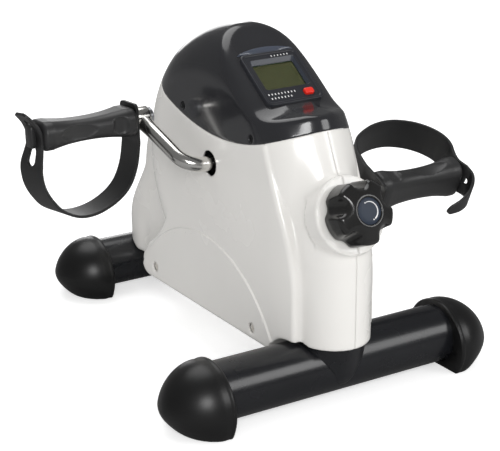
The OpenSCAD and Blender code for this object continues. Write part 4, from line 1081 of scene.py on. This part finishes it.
def monitor():
    wall = [round_rect(MON_W - inset, MON_L - inset, r, h) for inset, r, h in BEZEL_ROWS]
    window = [shift(round_rect(LCD_W + w, LCD_L + l, r, h), WINDOW_X, WINDOW_Y)
              for w, l, r, h in ((2.4, 4.2, 2.4, MON_FACE), (1.8, 3.6, 2.1, MON_FACE - 0.3))]
    well = [shift(round_rect(BUT_W + WELL, BUT_L + WELL, 2.2, h), BUT_X, BUT_Y)
            for h in (MON_FACE, -BEZEL - 1.0)]
    bezel = join(loft(wall), fill_between([wall[-1], window[0], well[0]]), loft(well), loft(window))
    monitor_piece("monitor_bezel", bezel, BEZEL_M, "frame", "monitor_plastic", "monitor_case", sharp=35)
    rim = loft([window[1], shift(round_rect(LCD_W - 1.0, LCD_L - 1.0, 1.6, -BEZEL - 0.6), 0, LCD_AT)])
    monitor_piece("monitor_window_rim", rim, LCD_EDGE, "frame", "monitor_plastic", "monitor_case")
    ticks = []
    for y, x0, count, tall in TICK_ROWS:
        for i in range(count):
            ring = [shift(round_rect(TICK_W, tall, 0.2, MON_FACE + h, 2), x0 + TICK_PITCH * i, y)
                    for h in (-TICK_RISE, TICK_RISE)]
            ticks.append(loft(ring, True, True))
    monitor_piece("monitor_ticks", join(*ticks), MARK, "frame", "monitor_plastic", "monitor_case")
    xs = np.linspace(-RIDGE_X, RIDGE_X, 41)
    rise = 1.0 - (xs / RIDGE_X) ** 2
    swell = np.minimum(1, 4 * rise + 0.1)
    ridge = loft([np.column_stack([xs, RIDGE_Y + RIDGE_W * t * rise + 0.3 * t, -BEZEL + h * swell])
                  for t, h in RIDGE_ROWS], wrap=False)
    monitor_piece("cover_ridge", ridge, RIDGE, "frame", "cover_plastic", "top_cover", sharp=60)
    cap = loft([shift(round_rect(BUT_W + w, BUT_L + l, r, h), BUT_X, BUT_Y) for w, l, r, h in BUTTON_ROWS],
               True, True)
    monitor_piece("reset_cap", cap, RED, "reset_button", "button_red", "reset_button", sharp=50)


monitor()


# Screw heads with a cross recess, on the cheeks and on the cover

HEAD_RISE, SHANK_R = 0.9, 1.5
CROSS_W, CROSS_L, CROSS_DEPTH = 0.62, 0.62, 0.9
CUP_T, CUP_HOLE = 1.4, 1.6


def screw_head(r, shank_l):
    """Pan head facing local +X, with its shank behind."""
    ring = circle(48)
    rings = [at_x(x, SHANK_R * ring) for x in (-shank_l, 0.0)]
    for t in np.linspace(1.0, 0.04, 15):
        y, z = (r * t * ring).T
        lift = HEAD_RISE * (1 - t ** 4) + 0.15
        near, far = np.minimum(np.abs(y), np.abs(z)), np.maximum(np.abs(y), np.abs(z))
        cross = np.clip((CROSS_W - near) / 0.18, 0, 1) * np.clip((CROSS_L * r - far) / 0.3, 0, 1)
        rings.append(np.column_stack([lift - CROSS_DEPTH * cross, y, z]))
    return loft(rings, True, True)


def screws(name, places, x, r, shank_l, mat, slot, node):
    parts = []
    for side, (y, z) in product((-1, 1), places):
        v, f = screw_head(r, shank_l)
        v = v * np.array([side, 1.0, 1.0]) + np.array([side * x, y, z])
        parts.append((v, f))
    v, f = join(*parts)
    piece(name, mesh_of(name, v, f), mat, "frame", slot, node, sharp=45)


screws("housing_screw_heads", CHEEK_SCREWS, HALF_W - 1.2, 3.4, 18.0, PALE_SCREW, "screw_steel",
       "housing_screws")
screws("cover_screw_heads", COVER_SCREWS, HALF_W - 1.0, 3.0, 8.0, BLACK_SCREW, "screw_black", "cover_screws")


def cups(name, side, places, x, r, mat, slot, node):
    """Floors of the screw recesses, just behind the skin."""
    parts = []
    for y, z in places:
        v, f = lathe(corner([(0.0, CUP_HOLE), (0.0, r), (-CUP_T, r), (-CUP_T, CUP_HOLE)], 0.3, 2), 40)
        parts.append((v * np.array([side, 1.0, 1.0]) + np.array([side * x, y, z]), f))
    v, f = join(*parts)
    piece(name, mesh_of(name, v, f), mat, "frame", slot, node)


for word, sign in (("left", -1), ("right", 1)):
    cups("housing_%s_posts" % word, sign, CHEEK_SCREWS, HALF_W - 1.3, 5.6, WHITE, "housing_plastic",
         "housing_" + word)
    cups("cover_posts_" + word, sign, COVER_SCREWS, HALF_W - 1.1, 4.4, COVER, "cover_plastic", "top_cover")


# Camera, floor and light, in metres

CAM_AT = (-0.745947, -1.186775, 0.609758)
CAM_AIM = (0.50714918, 0.79308013, -0.33737754)
CAM_LENS, CAM_SENSOR = 118.886, 36.0
FLOOR, FLOOR_WHITE, FLOOR_GLOSSY, FLOOR_GLOW = 8.0, 0.8, 0.3, 0.55
WORLD_SEEN, WORLD_LIGHT, WORLD_GLOSSY = 1.0, 0.53, 0.3
# Lamps as name, place, aim, width and power
LAMPS = [
    ("key", (1.15, -1.8, 1.15), (0, 0, 0.1), 1.1, 13.0),
    ("fill", (-1.0, -1.7, 1.05), (0, 0, 0.12), 0.75, 17.0),
    ("top", (0.1, 0.9, 2.0), (-0.05, 0.0, 0.2), 1.8, 18.0),
    ("back", (1.2, 2.9, 0.5), (0, 0, 0.2), 1.3, 10.0),
]


def aim(ob, along):
    ob.rotation_euler = Vector(along).to_track_quat("-Z", "Y").to_euler()


cam_data = bpy.data.cameras.new("camera")
cam = link("camera", cam_data)
scene.camera = cam
cam_data.sensor_width, cam_data.lens = CAM_SENSOR, CAM_LENS
cam_data.clip_start, cam_data.clip_end = 0.05, 50.0
cam.location = CAM_AT
aim(cam, CAM_AIM)


def by_ray(nt, path, kind, this, other):
    """One value for rays of a kind that the light path tells, and another for the rest."""
    mix = nt.nodes.new("ShaderNodeMapRange")
    mix.inputs["To Min"].default_value = other
    mix.inputs["To Max"].default_value = this
    nt.links.new(path.outputs[kind], mix.inputs["Value"])
    return mix.outputs["Result"]


def floor_material():
    """Pale floor that the camera sees near white, darker in reflections, with the object's shadow kept."""
    m = bpy.data.materials.new("floor_white")
    m.use_nodes = True
    nt = m.node_tree
    bsdf = nt.nodes["Principled BSDF"]
    bsdf.inputs["Roughness"].default_value = 0.9
    bsdf.inputs["Specular IOR Level"].default_value = 0.0
    bsdf.inputs["Emission Color"].default_value = (1, 1, 1, 1)
    path = nt.nodes.new("ShaderNodeLightPath")
    nt.links.new(by_ray(nt, path, "Is Camera Ray", FLOOR_GLOW, 0.0), bsdf.inputs["Emission Strength"])
    nt.links.new(by_ray(nt, path, "Is Glossy Ray", FLOOR_GLOSSY, FLOOR_WHITE), bsdf.inputs["Base Color"])
    return m


floor_me = bpy.data.meshes.new("floor")
floor_me.from_pydata([(-FLOOR, -FLOOR, 0), (FLOOR, -FLOOR, 0), (FLOOR, FLOOR, 0), (-FLOOR, FLOOR, 0)], [],
                     [(0, 1, 2, 3)])
floor = link("floor", floor_me)
floor_me.materials.append(floor_material())


def studio():
    """Even light all round, dimmer in reflections, and white behind the object."""
    world = bpy.data.worlds.new("studio")
    scene.world = world
    world.use_nodes = True
    nt = world.node_tree
    back = nt.nodes["Background"]
    back.inputs["Color"].default_value = (1, 1, 1, 1)
    path = nt.nodes.new("ShaderNodeLightPath")
    mul = nt.nodes.new("ShaderNodeMath")
    mul.operation = "MULTIPLY"
    nt.links.new(by_ray(nt, path, "Is Camera Ray", WORLD_SEEN, WORLD_LIGHT), mul.inputs[0])
    nt.links.new(by_ray(nt, path, "Is Glossy Ray", WORLD_GLOSSY, 1.0), mul.inputs[1])
    nt.links.new(mul.outputs["Value"], back.inputs["Strength"])
    for name, at, to, size, power in LAMPS:
        data = bpy.data.lights.new(name, "AREA")
        data.shape = "DISK"
        data.size = size
        data.energy = power
        ob = link(name, data)
        ob.location = at
        aim(ob, Vector(to) - Vector(at))


studio()
